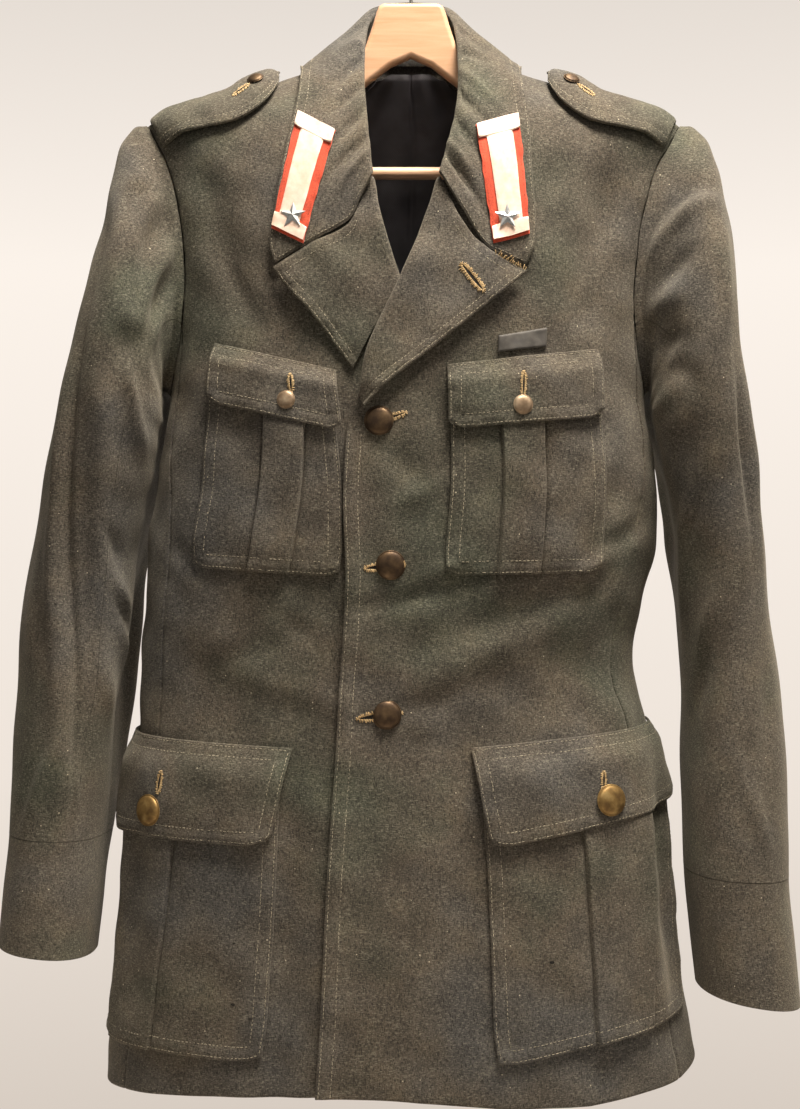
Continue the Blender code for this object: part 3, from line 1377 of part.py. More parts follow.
def make_hanger():
    arm = [(x, float(ridge_level(x)) - HANGER_DROP) for x in np.linspace(*HANGER_REACH, 6)]
    half = [*HANGER_TOP, *arm, *HANGER_UNDER]
    outline = half + [(-x, z) for x, z in half[-2:0:-1]]
    body = add_curve("hanger_body", outline, PALE_BEECH, True)
    body.dimensions = "2D"
    body.fill_mode = "BOTH"
    body.bevel_depth = HANGER_ROUND
    body.bevel_resolution = 1
    body.offset = -HANGER_ROUND
    body.extrude = HANGER_THICK / 2 - HANGER_ROUND

    bpy.ops.mesh.primitive_cylinder_add(
        vertices=20,
        radius=BAR_RADIUS,
        depth=2 * BAR_HALF,
        location=(0, 0, BAR_LEVEL),
        rotation=(0, math.pi / 2, 0),
    )
    bar = bpy.context.object
    mesh = bar.data
    place = bar.matrix_world.copy()
    bpy.data.objects.remove(bar)
    made = add_object("hanger_bar", mesh, PALE_BEECH)
    made.matrix_world = place

    path = list(HOOK_STEM)
    x0, z0 = HOOK_CENTRE
    for degree in np.linspace(*HOOK_ARC, 20):
        turn = math.radians(degree)
        path.append((x0 + HOOK_RADIUS * math.cos(turn), z0 + HOOK_RADIUS * math.sin(turn)))
    hook = add_curve("hanger_hook", path, HOOK_STEEL, False)
    hook.dimensions = "3D"
    hook.bevel_depth = WIRE
    hook.bevel_resolution = 2
    hook.use_fill_caps = True


make_sleeves()
make_collar()
make_lapels()
make_pockets()
make_buttons()
make_straps()
make_trim()
make_hanger()
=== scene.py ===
"""Military dress tunic of grey-green wool, hanging on a flat beech hanger.

Metres, +Z up. The front faces -Y, the wearer's left side is at +X, and the origin is the
bearing point of the hanger's hook. The sections follow the tunic as it is sewn together.
"""

import math

import bmesh
import bpy
import numpy as np
from mathutils import Matrix, Vector


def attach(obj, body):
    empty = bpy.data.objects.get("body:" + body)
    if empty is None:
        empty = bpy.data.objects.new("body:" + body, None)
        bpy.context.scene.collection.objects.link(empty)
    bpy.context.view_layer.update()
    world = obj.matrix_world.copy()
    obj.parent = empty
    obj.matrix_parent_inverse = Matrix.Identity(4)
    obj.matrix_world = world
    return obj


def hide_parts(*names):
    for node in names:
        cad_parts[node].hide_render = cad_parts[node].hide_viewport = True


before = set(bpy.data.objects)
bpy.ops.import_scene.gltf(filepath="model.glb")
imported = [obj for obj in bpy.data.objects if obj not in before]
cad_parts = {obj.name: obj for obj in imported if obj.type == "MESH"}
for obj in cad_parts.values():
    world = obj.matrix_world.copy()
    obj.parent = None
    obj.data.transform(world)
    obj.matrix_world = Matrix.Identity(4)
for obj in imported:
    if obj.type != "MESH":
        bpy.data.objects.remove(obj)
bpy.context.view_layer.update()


# ---- Camera, light and floor -------------------------------------------------------------
# A level camera before the chest, a broad soft light overhead with a weaker one before it,
# and a pale wall and floor.

HALF_VIEW, VIEW_AWAY = 0.41588, 1.300  # half the frame's height, at that distance
LAMPS = (  # name, place, aim, size, power, colour
    ("overhead", (0.34, -0.50, 1.32), (0.0, 0.0, -0.45), 0.7, 105.0, "#fff3e6"),
    ("window_side", (1.7, -0.75, 0.55), (0.28, 0.0, -0.45), 0.8, 5.0, "#fff5ea"),
    ("before", (-0.9, -2.4, 0.3), (0.0, 0.0, -0.5), 1.8, 4.0, "#fff4ea"),
    ("behind", (0.6, 2.2, 0.9), (0.0, 0.0, -0.5), 1.8, 12.0, "#fff4ea"),
)
WALL = (  # how far up the room, and its colour there
    (0.25, "#6e665e"), (0.33, "#cfc4b9"), (0.44, "#eae0d6"),
    (0.58, "#f8efe6"), (0.72, "#c9c1b9"), (0.90, "#8d8781"),
)


def hue(code):
    """sRGB hex to the linear colour that the shaders take."""
    channels = [int(code[i : i + 2], 16) / 255 for i in (1, 3, 5)]
    return *(c / 12.92 if c <= 0.04045 else ((c + 0.055) / 1.055) ** 2.4 for c in channels), 1.0


def fill(tree, node, **sockets):
    """Sets a node's sockets, named or numbered as i0, or links them to a node or its output."""
    for name, value in sockets.items():
        socket = node.inputs[int(name[1:]) if name[1:].isdigit() else name.replace("_", " ")]
        if isinstance(value, bpy.types.Node):
            value = value.outputs[0]
        if isinstance(value, bpy.types.NodeSocket):
            tree.links.new(value, socket)
        else:
            socket.default_value = value


def add(tree, kind, settings=None, **sockets):
    """Adds a shader node with its settings and its sockets."""
    made = tree.nodes.new("ShaderNode" + kind)
    for name, value in (settings or {}).items():
        setattr(made, name, value)
    fill(tree, made, **sockets)
    return made


def calc(tree, operation, *values):
    """Adds a sum, product or comparison of values."""
    numbered = {f"i{k}": value for k, value in enumerate(values)}
    return add(tree, "Math", {"operation": operation}, **numbered)


def ramp(tree, value, *stops):
    """Colours at places along a value, each as sRGB hex or as a factor for every channel."""
    made = add(tree, "ValToRGB", Fac=value)
    elements = made.color_ramp.elements
    while len(elements) < len(stops):
        elements.new(0.5)
    for element, (place, colour) in zip(elements, stops):
        element.position = place
        element.color = hue(colour) if isinstance(colour, str) else (*colour, 1.0)
    return made


def material(name):
    """A new material, its nodes, its shader and the object's own coordinates."""
    made = bpy.data.materials.new(name)
    made.use_nodes = True
    tree = made.node_tree
    return made, tree, tree.nodes["Principled BSDF"], add(tree, "TexCoord").outputs["Object"]


def put(name, data):
    """A new object, in the scene."""
    made = bpy.data.objects.new(name, data)
    bpy.context.scene.collection.objects.link(made)
    return made


camera = put("camera", bpy.data.cameras.new("camera"))
camera.location = (-0.0087, -1.375, -0.5016)
camera.rotation_euler = (math.pi / 2, 0, 0)
camera.data.sensor_fit = "VERTICAL"
camera.data.sensor_height = 24.0
camera.data.lens = camera.data.sensor_height / 2 / (HALF_VIEW / VIEW_AWAY)
bpy.context.scene.camera = camera

for name, place, aim, size, power, colour in LAMPS:
    lamp = bpy.data.lights.new(name, "AREA")
    lamp.size = size
    lamp.energy = power
    lamp.color = hue(colour)[:3]
    holder = put(name, lamp)
    holder.location = place
    holder.rotation_euler = (Vector(aim) - Vector(place)).to_track_quat("-Z", "Y").to_euler()

bpy.context.scene.view_settings.view_transform = "Standard"
world = bpy.data.worlds.new("pale_room")
bpy.context.scene.world = world
world.use_nodes = True
room = world.node_tree
room.nodes.clear()
way = add(room, "SeparateXYZ", Vector=add(room, "TexCoord").outputs["Generated"])
shade = ramp(room, calc(room, "MULTIPLY_ADD", way.outputs["Z"], 0.5, 0.5), *WALL)
lit = {"Value": way.outputs["Y"], "From_Min": 0.30, "From_Max": 0.85, "To_Min": 0.28, "To_Max": 1.04}
bright = add(room, "MapRange", {"interpolation_type": "SMOOTHSTEP"}, **lit)
add(room, "OutputWorld", Surface=add(room, "Background", Color=shade, Strength=bright))

mesh = bpy.data.meshes.new("floor")
form = bmesh.new()
bmesh.ops.create_circle(form, cap_ends=True, segments=96, radius=1.1)
form.to_mesh(mesh)
form.free()
floor = put("floor", mesh)
floor.location = (0, 0, -1.30)
plaster, t, shader, _ = material("pale_floor_plaster")
fill(t, shader, Base_Color=hue("#e4dcd2"), Roughness=0.9)
mesh.materials.append(plaster)


# ---- Body: two fronts, two side bodies and the back --------------------------------------
# Fulled wool of grey-green, beige and dark fibres, 2.1 mm thick, cut in five panels and
# sewn at the side seams. The top front is the wearer's left, with a pressed, stitched edge.

WOOL = 0.0021
SEAM = 0.0004
RINGS = np.array(
    (  # z, shift, half-width, front and back half-depth, squareness
        (-0.930, -0.005, 0.236, 0.099, 0.098, 2.50),
        (-0.882, -0.0075, 0.2295, 0.098, 0.097, 2.50),
        (-0.837, -0.0085, 0.2235, 0.097, 0.095, 2.50),
        (-0.775, -0.0090, 0.2175, 0.094, 0.091, 2.50),
        (-0.733, -0.010, 0.214, 0.092, 0.087, 2.50),
        (-0.688, -0.012, 0.209, 0.089, 0.083, 2.50),
        (-0.637, -0.014, 0.201, 0.086, 0.078, 2.48),
        (-0.587, -0.019, 0.1945, 0.084, 0.075, 2.46),
        (-0.538, -0.013, 0.1965, 0.084, 0.075, 2.45),
        (-0.493, -0.007, 0.200, 0.085, 0.077, 2.45),
        (-0.438, -0.003, 0.196, 0.085, 0.079, 2.42),
        (-0.375, -0.003, 0.186, 0.083, 0.079, 2.38),
        (-0.327, -0.002, 0.184, 0.080, 0.077, 2.34),
        (-0.280, -0.001, 0.188, 0.076, 0.074, 2.30),
        (-0.240, 0.000, 0.194, 0.071, 0.071, 2.25),
        (-0.200, 0.001, 0.203, 0.063, 0.066, 2.20),
        (-0.178, 0.002, 0.210, 0.056, 0.062, 2.16),
        (-0.164, 0.002, 0.211, 0.049, 0.059, 2.14),
        (-0.152, 0.002, 0.177, 0.042, 0.056, 2.12),
        (-0.141, 0.001, 0.145, 0.034, 0.053, 2.10),
        (-0.130, 0.001, 0.113, 0.027, 0.050, 2.08),
        (-0.120, 0.000, 0.083, 0.019, 0.047, 2.06),
        (-0.113, 0.000, 0.064, 0.015, 0.045, 2.05),
        (-0.101, 0.000, 0.062, 0.015, 0.045, 2.05),
    )
)
HEM = -0.905
HEM_LINE = (
    (-2.0, -0.902), (-1.5, -0.906), (-1.0, -0.912), (-0.75, -0.909), (-0.5, -0.905), (-0.22, -0.902),
    (0.0, -0.904), (0.3, -0.912), (0.5, -0.912), (0.8, -0.902), (1.0, -0.888), (1.5, -0.898), (2.0, -0.902),
)
UNDERARM, SHOULDER, NECK_SIDE, NECK_BACK = -0.375, -0.164, -0.1145, -0.1015
ARMHOLE_FRONT, ARMHOLE_BACK = 0.165, 0.20
SIDE_SEAMS = (
    (-0.930, 0.800, 1.190),
    (-0.600, 0.775, 1.180),
    (-0.500, 0.775, 1.175),
    (-0.380, 0.8571, 1.1732),
    (-0.300, 0.8571, 1.1732),
)
FRONT_EDGE = (
    (-0.930, -0.073), (-0.902, -0.0705), (-0.837, -0.0665), (-0.754, -0.063), (-0.704, -0.060),
    (-0.654, -0.0565), (-0.604, -0.054), (-0.545, -0.05), (-0.518, -0.049), (-0.461, -0.0508),
    (-0.402, -0.0478),
)
BREAK, CROSSING, GORGE = -0.402, -0.2968, -0.2168
ROLL_LEFT = (
    (-0.402, -0.0478), (-0.383, -0.0385), (-0.356, -0.0340), (-0.297, -0.0085),
    (-0.272, 0.0020), (-0.235, 0.0150), (-0.213, 0.0225),
)
ROLL_RIGHT = (
    (-0.402, 0.007), (-0.35, 0.002), (-0.297, -0.0085), (-0.28, -0.014), (-0.246, -0.0237), (-0.213, -0.03),
)
NECKLINE = (
    (-0.215, 0.0285), (-0.200, 0.0350), (-0.175, 0.0440), (-0.152, 0.0520), (-0.133, 0.0580),
    (-0.120, 0.0625), (-0.113, 0.0645),
)
COLLAR_SHIFT = ((-0.290, -0.0100), (-0.250, -0.0055), (-0.215, -0.0040), (-0.150, 0.0), (-0.05, 0.0))
OVER_FRONT, OVER_LAPEL, LIP = 0.0030, 0.0058, 0.0034  # how far the top front stands off
FRONT_ROWS = (0.0022, 0.0112)  # distances of its rows of stitches from the edge


def smooth(x, xs, ys):
    """Smooth curve through (xs, ys) that never overshoots, at x."""
    xs, ys = np.asarray(xs, float), np.asarray(ys, float)
    x = np.clip(np.asarray(x, float), xs[0], xs[-1])
    step = np.diff(xs)
    slope = np.diff(ys) / step
    bend = np.zeros_like(ys)
    same = slope[1:] * slope[:-1] > 0
    mean = 2 * np.where(same, slope[1:] * slope[:-1], 1) / np.where(same, slope[1:] + slope[:-1], 1)
    bend[1:-1] = np.where(same, mean, 0)
    bend[0], bend[-1] = slope[0], slope[-1]
    i = np.clip(np.searchsorted(xs, x) - 1, 0, len(step) - 1)
    t = (x - xs[i]) / step[i]
    return (
        ys[i] * (1 + 2 * t) * (1 - t) ** 2
        + ys[i + 1] * t**2 * (3 - 2 * t)
        + step[i] * t * (1 - t) * (bend[i] * (1 - t) - bend[i + 1] * t)
    )


def along(rows, z, column=1):
    rows = np.array(rows, float).T
    return smooth(z, rows[0], rows[column])


def ease(x):
    x = np.clip(x, 0.0, 1.0)
    return x * x * (3 - 2 * x)


LEVELS = np.linspace(-0.935, -0.100, 210)
QUARTER = np.linspace(0, math.pi / 2, 241)
FRACTIONS = np.linspace(0, 1, 201)
SHIFT, HALF, FRONT, BACK, POWER = range(1, 6)


def ring(column, z):
    return smooth(z, RINGS[:, 0], RINGS[:, column])


def quarter_tables(depth):
    """Length of a quarter ring at each level, and its angle at even shares of that length."""
    power = 2 / ring(POWER, LEVELS)[:, None]
    x = ring(HALF, LEVELS)[:, None] * np.sin(QUARTER)[None] ** power
    y = ring(depth, LEVELS)[:, None] * np.cos(QUARTER)[None] ** power
    steps = np.hypot(np.diff(x, axis=1), np.diff(y, axis=1))
    run = np.concatenate([np.zeros((len(LEVELS), 1)), np.cumsum(steps, axis=1)], axis=1)
    return run[:, -1], np.array([np.interp(FRACTIONS * r[-1], r, QUARTER) for r in run])


FRONT_LENGTH, FRONT_ANGLE = quarter_tables(FRONT)
BACK_LENGTH, BACK_ANGLE = quarter_tables(BACK)


def read_angle(rows, z, fraction):
    """Angle at a share of a quarter ring's length."""
    i = np.clip((z - LEVELS[0]) / (LEVELS[1] - LEVELS[0]), 0, len(LEVELS) - 1.001)
    j = np.minimum(np.clip(fraction, 0, 1) * (len(FRACTIONS) - 1), len(FRACTIONS) - 1.001)
    a, b = i.astype(int), j.astype(int)
    s, t = i - a, j - b
    low = rows[a, b] * (1 - t) + rows[a, b + 1] * t
    return low * (1 - s) + (rows[a + 1, b] * (1 - t) + rows[a + 1, b + 1] * t) * s


def on_ring(f, z):
    """Point of the body at f quarters round from the front, towards the wearer's left, at level z."""
    f, z = np.broadcast_arrays(np.asarray(f, float), np.asarray(z, float))
    f = (f + 2) % 4 - 2
    q = np.abs(f)
    behind = q > 1
    angle = np.where(behind, read_angle(BACK_ANGLE, z, 2 - q), read_angle(FRONT_ANGLE, z, q))
    power = 2 / ring(POWER, z)
    x = ring(SHIFT, z) + np.where(f < 0, -1.0, 1.0) * ring(HALF, z) * np.sin(angle) ** power
    y = np.where(behind, ring(BACK, z), -ring(FRONT, z)) * np.abs(np.cos(angle)) ** power
    return np.stack([x, y, z], axis=-1)


def quarters(u, z):
    """Distance u round the ring from its front, as quarters."""
    u, z = np.broadcast_arrays(np.asarray(u, float), np.asarray(z, float))
    front, back = np.interp(z, LEVELS, FRONT_LENGTH), np.interp(z, LEVELS, BACK_LENGTH)
    size = np.abs(u)
    return np.sign(u) * np.where(size < front, size / front, 1 + (size - front) / back)


def quarters_of_x(x, z):
    """Place on the front half of the ring whose x is given."""
    x, z = np.broadcast_arrays(np.asarray(x, float), np.asarray(z, float))
    share = np.clip((x - ring(SHIFT, z)) / ring(HALF, z), -1, 1)
    angle = np.arcsin(np.abs(share) ** (ring(POWER, z) / 2)).ravel()
    i = np.clip((z.ravel() - LEVELS[0]) / (LEVELS[1] - LEVELS[0]), 0, len(LEVELS) - 1.001)
    low = i.astype(int)
    found = np.array(
        [
            np.interp(a, FRONT_ANGLE[k], FRACTIONS) * (1 - s)
            + np.interp(a, FRONT_ANGLE[k + 1], FRACTIONS) * s
            for a, k, s in zip(angle, low, i - low)
        ]
    )
    return np.sign(share) * found.reshape(share.shape)


def unit(v):
    return v / np.linalg.norm(v, axis=-1, keepdims=True)


def normal_of(surface, a, b, way_a, way_b):
    """Normal of surface(a, b). A way is the step to both sides, and the first and last place."""
    (step_a, *ends_a), (step_b, *ends_b) = way_a, way_b
    one = surface(np.clip(a + step_a, *ends_a), b) - surface(np.clip(a - step_a, *ends_a), b)
    two = surface(a, np.clip(b + step_b, *ends_b)) - surface(a, np.clip(b - step_b, *ends_b))
    return unit(np.cross(one, two))


FREE = (-math.inf, math.inf)


def normal_at(f, z):
    z = np.minimum(z, LEVELS[-1] - 0.004)
    return normal_of(on_ring, f, z, (0.004, *FREE), (0.002, *FREE))


# Folds and creases of the body. f, z: middle. lean: degrees from upright. wide, long: half
# sizes. high: height, or depth where negative.
BODY_FOLDS = (
    (0.62, -0.590, 62, 0.030, 0.090, -0.0045),
    (0.30, -0.640, 75, 0.028, 0.080, -0.0025),
    (-0.62, -0.600, -66, 0.028, 0.080, -0.0035),
    (0.88, -0.800, 4, 0.022, 0.085, -0.0040),
    (-0.20, -0.800, 5, 0.030, 0.110, 0.0030),
    (0.16, -0.840, -4, 0.035, 0.090, 0.0035),
    (0.66, -0.260, 16, 0.018, 0.060, -0.0035),
    (-0.66, -0.262, -16, 0.018, 0.060, -0.0035),
    (1.55, -0.800, 3, 0.040, 0.120, 0.0060),
    (-1.55, -0.800, -3, 0.040, 0.120, 0.0060),
    (2.00, -0.620, 4, 0.035, 0.150, -0.0060),
    (1.40, -0.600, 70, 0.030, 0.090, -0.0040),
    (-1.40, -0.600, -70, 0.030, 0.090, -0.0040),
    (1.80, -0.430, 68, 0.010, 0.060, -0.0028),
    (2.18, -0.455, -62, 0.010, 0.070, -0.0032),
    (2.08, -0.492, -74, 0.012, 0.050, 0.0024),
    (1.72, -0.560, 74, 0.009, 0.050, -0.0030),
    (1.86, -0.586, 66, 0.010, 0.045, 0.0022),
    (2.34, -0.585, -70, 0.010, 0.060, -0.0030),
    (1.98, -0.645, 80, 0.012, 0.070, -0.0026),
    (1.60, -0.330, 30, 0.012, 0.045, -0.0034),
    (2.42, -0.335, -30, 0.012, 0.050, -0.0038),
    (2.22, -0.780, 8, 0.014, 0.100, -0.0036),
    (1.70, -0.800, -6, 0.014, 0.090, 0.0032),
)


FRONT_CREASES = (  # the same, with the middle's distance round from the front in metres
    (0.000, -0.438, -50, 0.0065, 0.026, -0.0018),
    (0.010, -0.456, 66, 0.0070, 0.026, 0.0015),
    (0.002, -0.536, 80, 0.0060, 0.034, -0.0019),
    (0.036, -0.512, 64, 0.0060, 0.020, 0.0014),
    (0.030, -0.527, 70, 0.0060, 0.024, -0.0013),
    (0.100, -0.545, 72, 0.0120, 0.070, -0.0028),
    (0.083, -0.573, 68, 0.0140, 0.060, 0.0022),
    (0.030, -0.613, 72, 0.0080, 0.040, -0.0020),
    (0.020, -0.640, -70, 0.0090, 0.034, -0.0012),
    (-0.074, -0.556, -60, 0.0060, 0.022, -0.0015),
    (-0.088, -0.600, -74, 0.0100, 0.045, 0.0013),
    (-0.110, -0.575, 70, 0.0090, 0.040, -0.0014),
    (0.170, -0.460, 24, 0.0080, 0.030, -0.0030),
    (0.176, -0.490, 62, 0.0080, 0.026, -0.0032),
    (0.160, -0.505, 50, 0.0070, 0.024, 0.0020),
    (-0.172, -0.505, -55, 0.0080, 0.028, -0.0024),
    (0.046, -0.760, 0, 0.0120, 0.110, -0.0024),
    (-0.080, -0.780, 2, 0.0120, 0.130, -0.0034),
    (0.078, -0.245, -12, 0.0100, 0.040, -0.0014),
    (0.130, -0.262, 30, 0.0080, 0.034, 0.0014),
    (-0.112, -0.300, -20, 0.0090, 0.036, -0.0014),
    (-0.150, -0.300, -34, 0.0080, 0.030, -0.0022),
    (0.155, -0.318, 34, 0.0090, 0.034, -0.0022),
    (0.168, -0.232, 8, 0.0200, 0.050, -0.0045),
    (0.208, -0.745, 2, 0.0120, 0.085, -0.0058),
    (0.190, -0.750, 2, 0.0100, 0.080, 0.0022),
    (-0.196, -0.760, -3, 0.0120, 0.080, -0.0036),
    (0.118, -0.212, 20, 0.0160, 0.040, -0.0020),
)


def folds(table, across_at, down_at, scale, wrap=None):
    """Sum of soft folds at places given in the table's own first two coordinates."""
    total = np.zeros(np.broadcast(across_at, down_at).shape)
    for middle, level, lean, wide, long, high in table:
        away = across_at - middle
        if wrap:
            away = (away + wrap / 2) % wrap - wrap / 2
        x, y, turn = away * scale, down_at - level, math.radians(lean)
        across = x * math.cos(turn) - y * math.sin(turn)
        length = x * math.sin(turn) + y * math.cos(turn)
        total = total + high * np.exp(-((across / wide) ** 2) - (length / long) ** 2)
    return total


def cloth(f, z, out=0.0):
    """Point at f quarters round and level z, out metres off the cloth's face."""
    f, z, out = np.broadcast_arrays(f, z, np.asarray(out, float))
    uneven = np.sin(f * 27 + z * 61) + np.sin(f * 43 - z * 97 + 1) + np.sin(z * 141 + f * 15 + 2)
    creased = folds(BODY_FOLDS, f, z, 0.25, 4) + 1.35 * folds(FRONT_CREASES, f * 0.25, z, 1.0)
    creased = creased + 0.00034 * uneven
    reach = out + creased * ease((-0.170 - z) / 0.05)
    return on_ring(f, z) + reach[..., None] * normal_at(f, z)


def left_inner(z):
    """x of the top front's inner edge: front edge, roll line of the lapel, neckline."""
    z = np.asarray(z, float)
    neck = along(NECKLINE, z) + along(COLLAR_SHIFT, z)
    return np.where(z < BREAK, along(FRONT_EDGE, z), np.where(z < GORGE, along(ROLL_LEFT, z), neck))


def right_inner(z):
    """x of the under front's inner edge, hidden below the lapels' crossing."""
    z = np.asarray(z, float)
    blend = ease((z - (BREAK - 0.05)) / 0.05)
    hidden = (0.0578 + along(FRONT_EDGE, z)) * (1 - blend) + ROLL_RIGHT[0][1] * blend
    neck = along(COLLAR_SHIFT, z) - along(NECKLINE, z)
    return np.where(z < BREAK, hidden, np.where(z < GORGE, along(ROLL_RIGHT, z), neck))


def front_lift(f, z):
    """How far the top front stands off where it lies over the other front and its lapel."""
    in_from = f - quarters_of_x(left_inner(z), z)
    near = 1 - ease((in_from - 0.25) / 0.16)
    over_lapel = ease((z + 0.392) / 0.02) * (1 - ease(in_from / 0.13))
    lip = LIP * (1 - ease(in_from / 0.09)) * ease((BREAK - z) / 0.05)
    return near * (OVER_FRONT + OVER_LAPEL * over_lapel) * ease((-0.258 - z) / 0.03) + lip


def ripple(run, size, seed):
    """Uneven pucker along a seam: three waves whose lengths never meet."""
    waves = ((1.0, 0.021, 1.0), (0.7, 0.0133, 2.1), (0.9, 0.047, 0.7))
    return size * sum(high * np.sin(run * 2 * math.pi / long + shift * seed) for high, long, shift in waves)


def smooth_piece(name, points, faces, crease=180.0):
    """A smooth mesh facing outwards, crisp where it bends by more than the crease's degrees."""
    mesh = bpy.data.meshes.new(name)
    mesh.from_pydata(np.asarray(points).tolist(), [], faces)
    form = bmesh.new()
    form.from_mesh(mesh)
    bmesh.ops.recalc_face_normals(form, faces=form.faces)
    form.to_mesh(mesh)
    form.free()
    mesh.shade_smooth()
    if crease < 180.0:
        mesh.set_sharp_from_angle(angle=math.radians(crease))
    return put(name, mesh)


def shell(name, outer, inner, closed=False):
    """Thin cloth between two matching grids of points, with crisp turned edges."""
    rows, columns = outer.shape[:2]
    points = np.concatenate([outer.reshape(-1, 3), inner.reshape(-1, 3)])
    shift = rows * columns
    last = columns if closed else columns - 1
    i, j = np.meshgrid(np.arange(rows - 1), np.arange(last), indexing="ij")
    a, b = i * columns + j, i * columns + (j + 1) % columns
    c, d = b + columns, a + columns
    quads = [np.stack([a, b, c, d], -1).reshape(-1, 4)]
    quads.append(np.stack([d, c, b, a], -1).reshape(-1, 4) + shift)
    top, bottom = np.stack([a[0], b[0]], -1), np.stack([b[-1], a[-1]], -1) + columns
    rims = [top[:, ::-1], bottom[:, ::-1]]
    if not closed:
        rims.append(np.stack([a[:, 0], d[:, 0]], -1))
        rims.append(np.stack([c[:, -1], b[:, -1]], -1))
    for rim in rims:
        quads.append(np.stack([rim[:, 0], rim[:, 1], rim[:, 1] + shift, rim[:, 0] + shift], -1))
    return smooth_piece(name, points, np.concatenate(quads).tolist(), 58.0)


def sew(piece, node, look, slot, flat=None, held="stretched", rests_on=(), area=None):
    """Gives a piece its finish and fixes it to the tunic; the cloth it was cut from, given as slot, is not
    used.
    """
    piece.data.materials.append(look)
    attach(piece, "root")
    if node:
        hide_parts(node)
    return piece


def noise(tree, place, scale, detail, rough=0.5):
    return add(tree, "TexNoise", Vector=place, Scale=scale, Detail=detail, Roughness=rough)


def blend(tree, share, under, over, how="MIX"):
    """A share of one colour laid over another, or multiplied with it."""
    made = add(tree, "Mix", {"data_type": "RGBA", "blend_type": how}, Factor=share, i6=under, i7=over)
    return made.outputs[2]


def bump(tree, height, strength, deep):
    return add(tree, "Bump", Height=height, Strength=strength, Distance=deep)


# Milled woollen: a grey-green ground whose tint drifts in patches, worn lighter and darker,
# with beige fibres along and dark ones across, rare lint, and a raised nap.
wool, t, shader, place = material("fulled_grey_green_wool")
ground = ramp(t, noise(t, place, 7.0, 3.0, 0.55), (0.34, "#4a4c42"), (0.50, "#565047"), (0.66, "#504f4d"))
worn = noise(t, place, 38.0, 5.0, 0.62)
worn = ramp(t, worn, (0.36, (0.80, 0.80, 0.81)), (0.52, (1, 1, 1)), (0.66, (1.20, 1.18, 1.12)))
weft = noise(t, add(t, "Mapping", Vector=place, Scale=(420.0, 420.0, 1250.0)), 1.0, 3.0, 0.6)
warp = noise(t, add(t, "Mapping", Vector=place, Scale=(1250.0, 1250.0, 420.0)), 1.0, 3.0, 0.6)
fibre = add(t, "Mix", {"data_type": "FLOAT"}, Factor=0.5, i2=weft, i3=warp)
tone = ramp(t, fibre, (0.38, (0.55, 0.55, 0.56)), (0.50, (0.98, 0.98, 0.98)), (0.61, (1.44, 1.42, 1.36)))
shade = blend(t, 1.0, blend(t, 1.0, ground, worn, "MULTIPLY"), tone, "MULTIPLY")
light_fibre = ramp(t, weft, (0.56, (0, 0, 0)), (0.64, (1, 1, 1)))
shade = blend(t, calc(t, "MULTIPLY", light_fibre, 0.46), shade, hue("#878577"))
dark_fibre = ramp(t, warp, (0.36, (1, 1, 1)), (0.44, (0, 0, 0)))
shade = blend(t, calc(t, "MULTIPLY", dark_fibre, 0.60), shade, hue("#23241f"))
specks = add(t, "TexVoronoi", Vector=place, Scale=150.0)
near = calc(t, "LESS_THAN", specks.outputs["Distance"], 0.075)
rare = calc(t, "GREATER_THAN", add(t, "SeparateColor", Color=specks.outputs["Color"]), 0.88)
lint = calc(t, "MULTIPLY", calc(t, "MULTIPLY", near, rare), 0.85)
fill(t, shader, Base_Color=blend(t, lint, shade, hue("#c9c0a8")), Roughness=0.95)
fill(t, shader, Specular_IOR_Level=0.12, Sheen_Weight=0.22, Sheen_Roughness=0.55)
felted = calc(t, "MULTIPLY_ADD", fibre, 1.2, noise(t, place, 480.0, 4.0, 0.7))
fill(t, shader, Sheen_Tint=hue("#d8d2c0"), Normal=bump(t, felted, 0.5, 0.0007))

FINE = np.array((0.0, 0.0005, 0.0012, 0.0022, 0.0036, 0.0052, 0.0070, 0.0092, 0.0115))
STITCHED = []  # rows of stitches, gathered as the pieces are cut and sewn in one section below


def steps(width, count, first=FINE, last=FINE):
    """Distances across a panel, close together at its edges, a row for each width."""
    width = np.asarray(width, float)[..., None]
    middle = np.linspace(0, 1, count + 2)[1:-1]
    inner = first[-1] + (width - first[-1] - last[-1]) * middle
    return np.concatenate([0 * width + first, inner, width - last[::-1]], axis=-1)


def shares(width, count, first=FINE, last=FINE):
    """The same for one width, as shares of it."""
    return steps(np.array([width]), count, first, last)[0] / width


def borders(points):
    """Distance of each point from the first row, last row, first column and last column."""
    down = np.linalg.norm(np.diff(points, axis=0), axis=-1)
    down = np.concatenate([np.zeros((1, points.shape[1])), np.cumsum(down, axis=0)])
    across = np.linalg.norm(np.diff(points, axis=1), axis=-1)
    across = np.concatenate([np.zeros((points.shape[0], 1)), np.cumsum(across, axis=1)], axis=1)
    return np.stack([down, down[-1:] - down, across, across[:, -1:] - across])


def turned(gaps, rows, *edges):
    """Height of turned, pressed edges (border, seed), drawn down along their rows of stitches."""
    height = 0.0
    for border, seed in edges:
        d, run = gaps[border], gaps[0 if border > 1 else 2]
        height = height - 0.0010 * (1 - np.clip(d / 0.0018, 0, 1)) ** 2
        for row in rows:
            away = d - row
            height = height - 0.00042 * np.exp(-((away / 0.0012) ** 2))
            height = height + ripple(run, 0.00017, seed + row * 900) * np.exp(-((away / 0.0055) ** 2))
    return height


def seamed(gaps, *edges):
    """Height beside seams (border, seed): drawn in along the stitching, with an uneven pucker."""
    height = 0.0
    for border, seed in edges:
        d, run = gaps[border], gaps[0 if border > 1 else 2]
        height = height - 0.0009 * np.exp(-((d / 0.0013) ** 2))
        height = height + ripple(run, 0.00024, seed) * np.exp(-((d / 0.0085) ** 2))
    return height


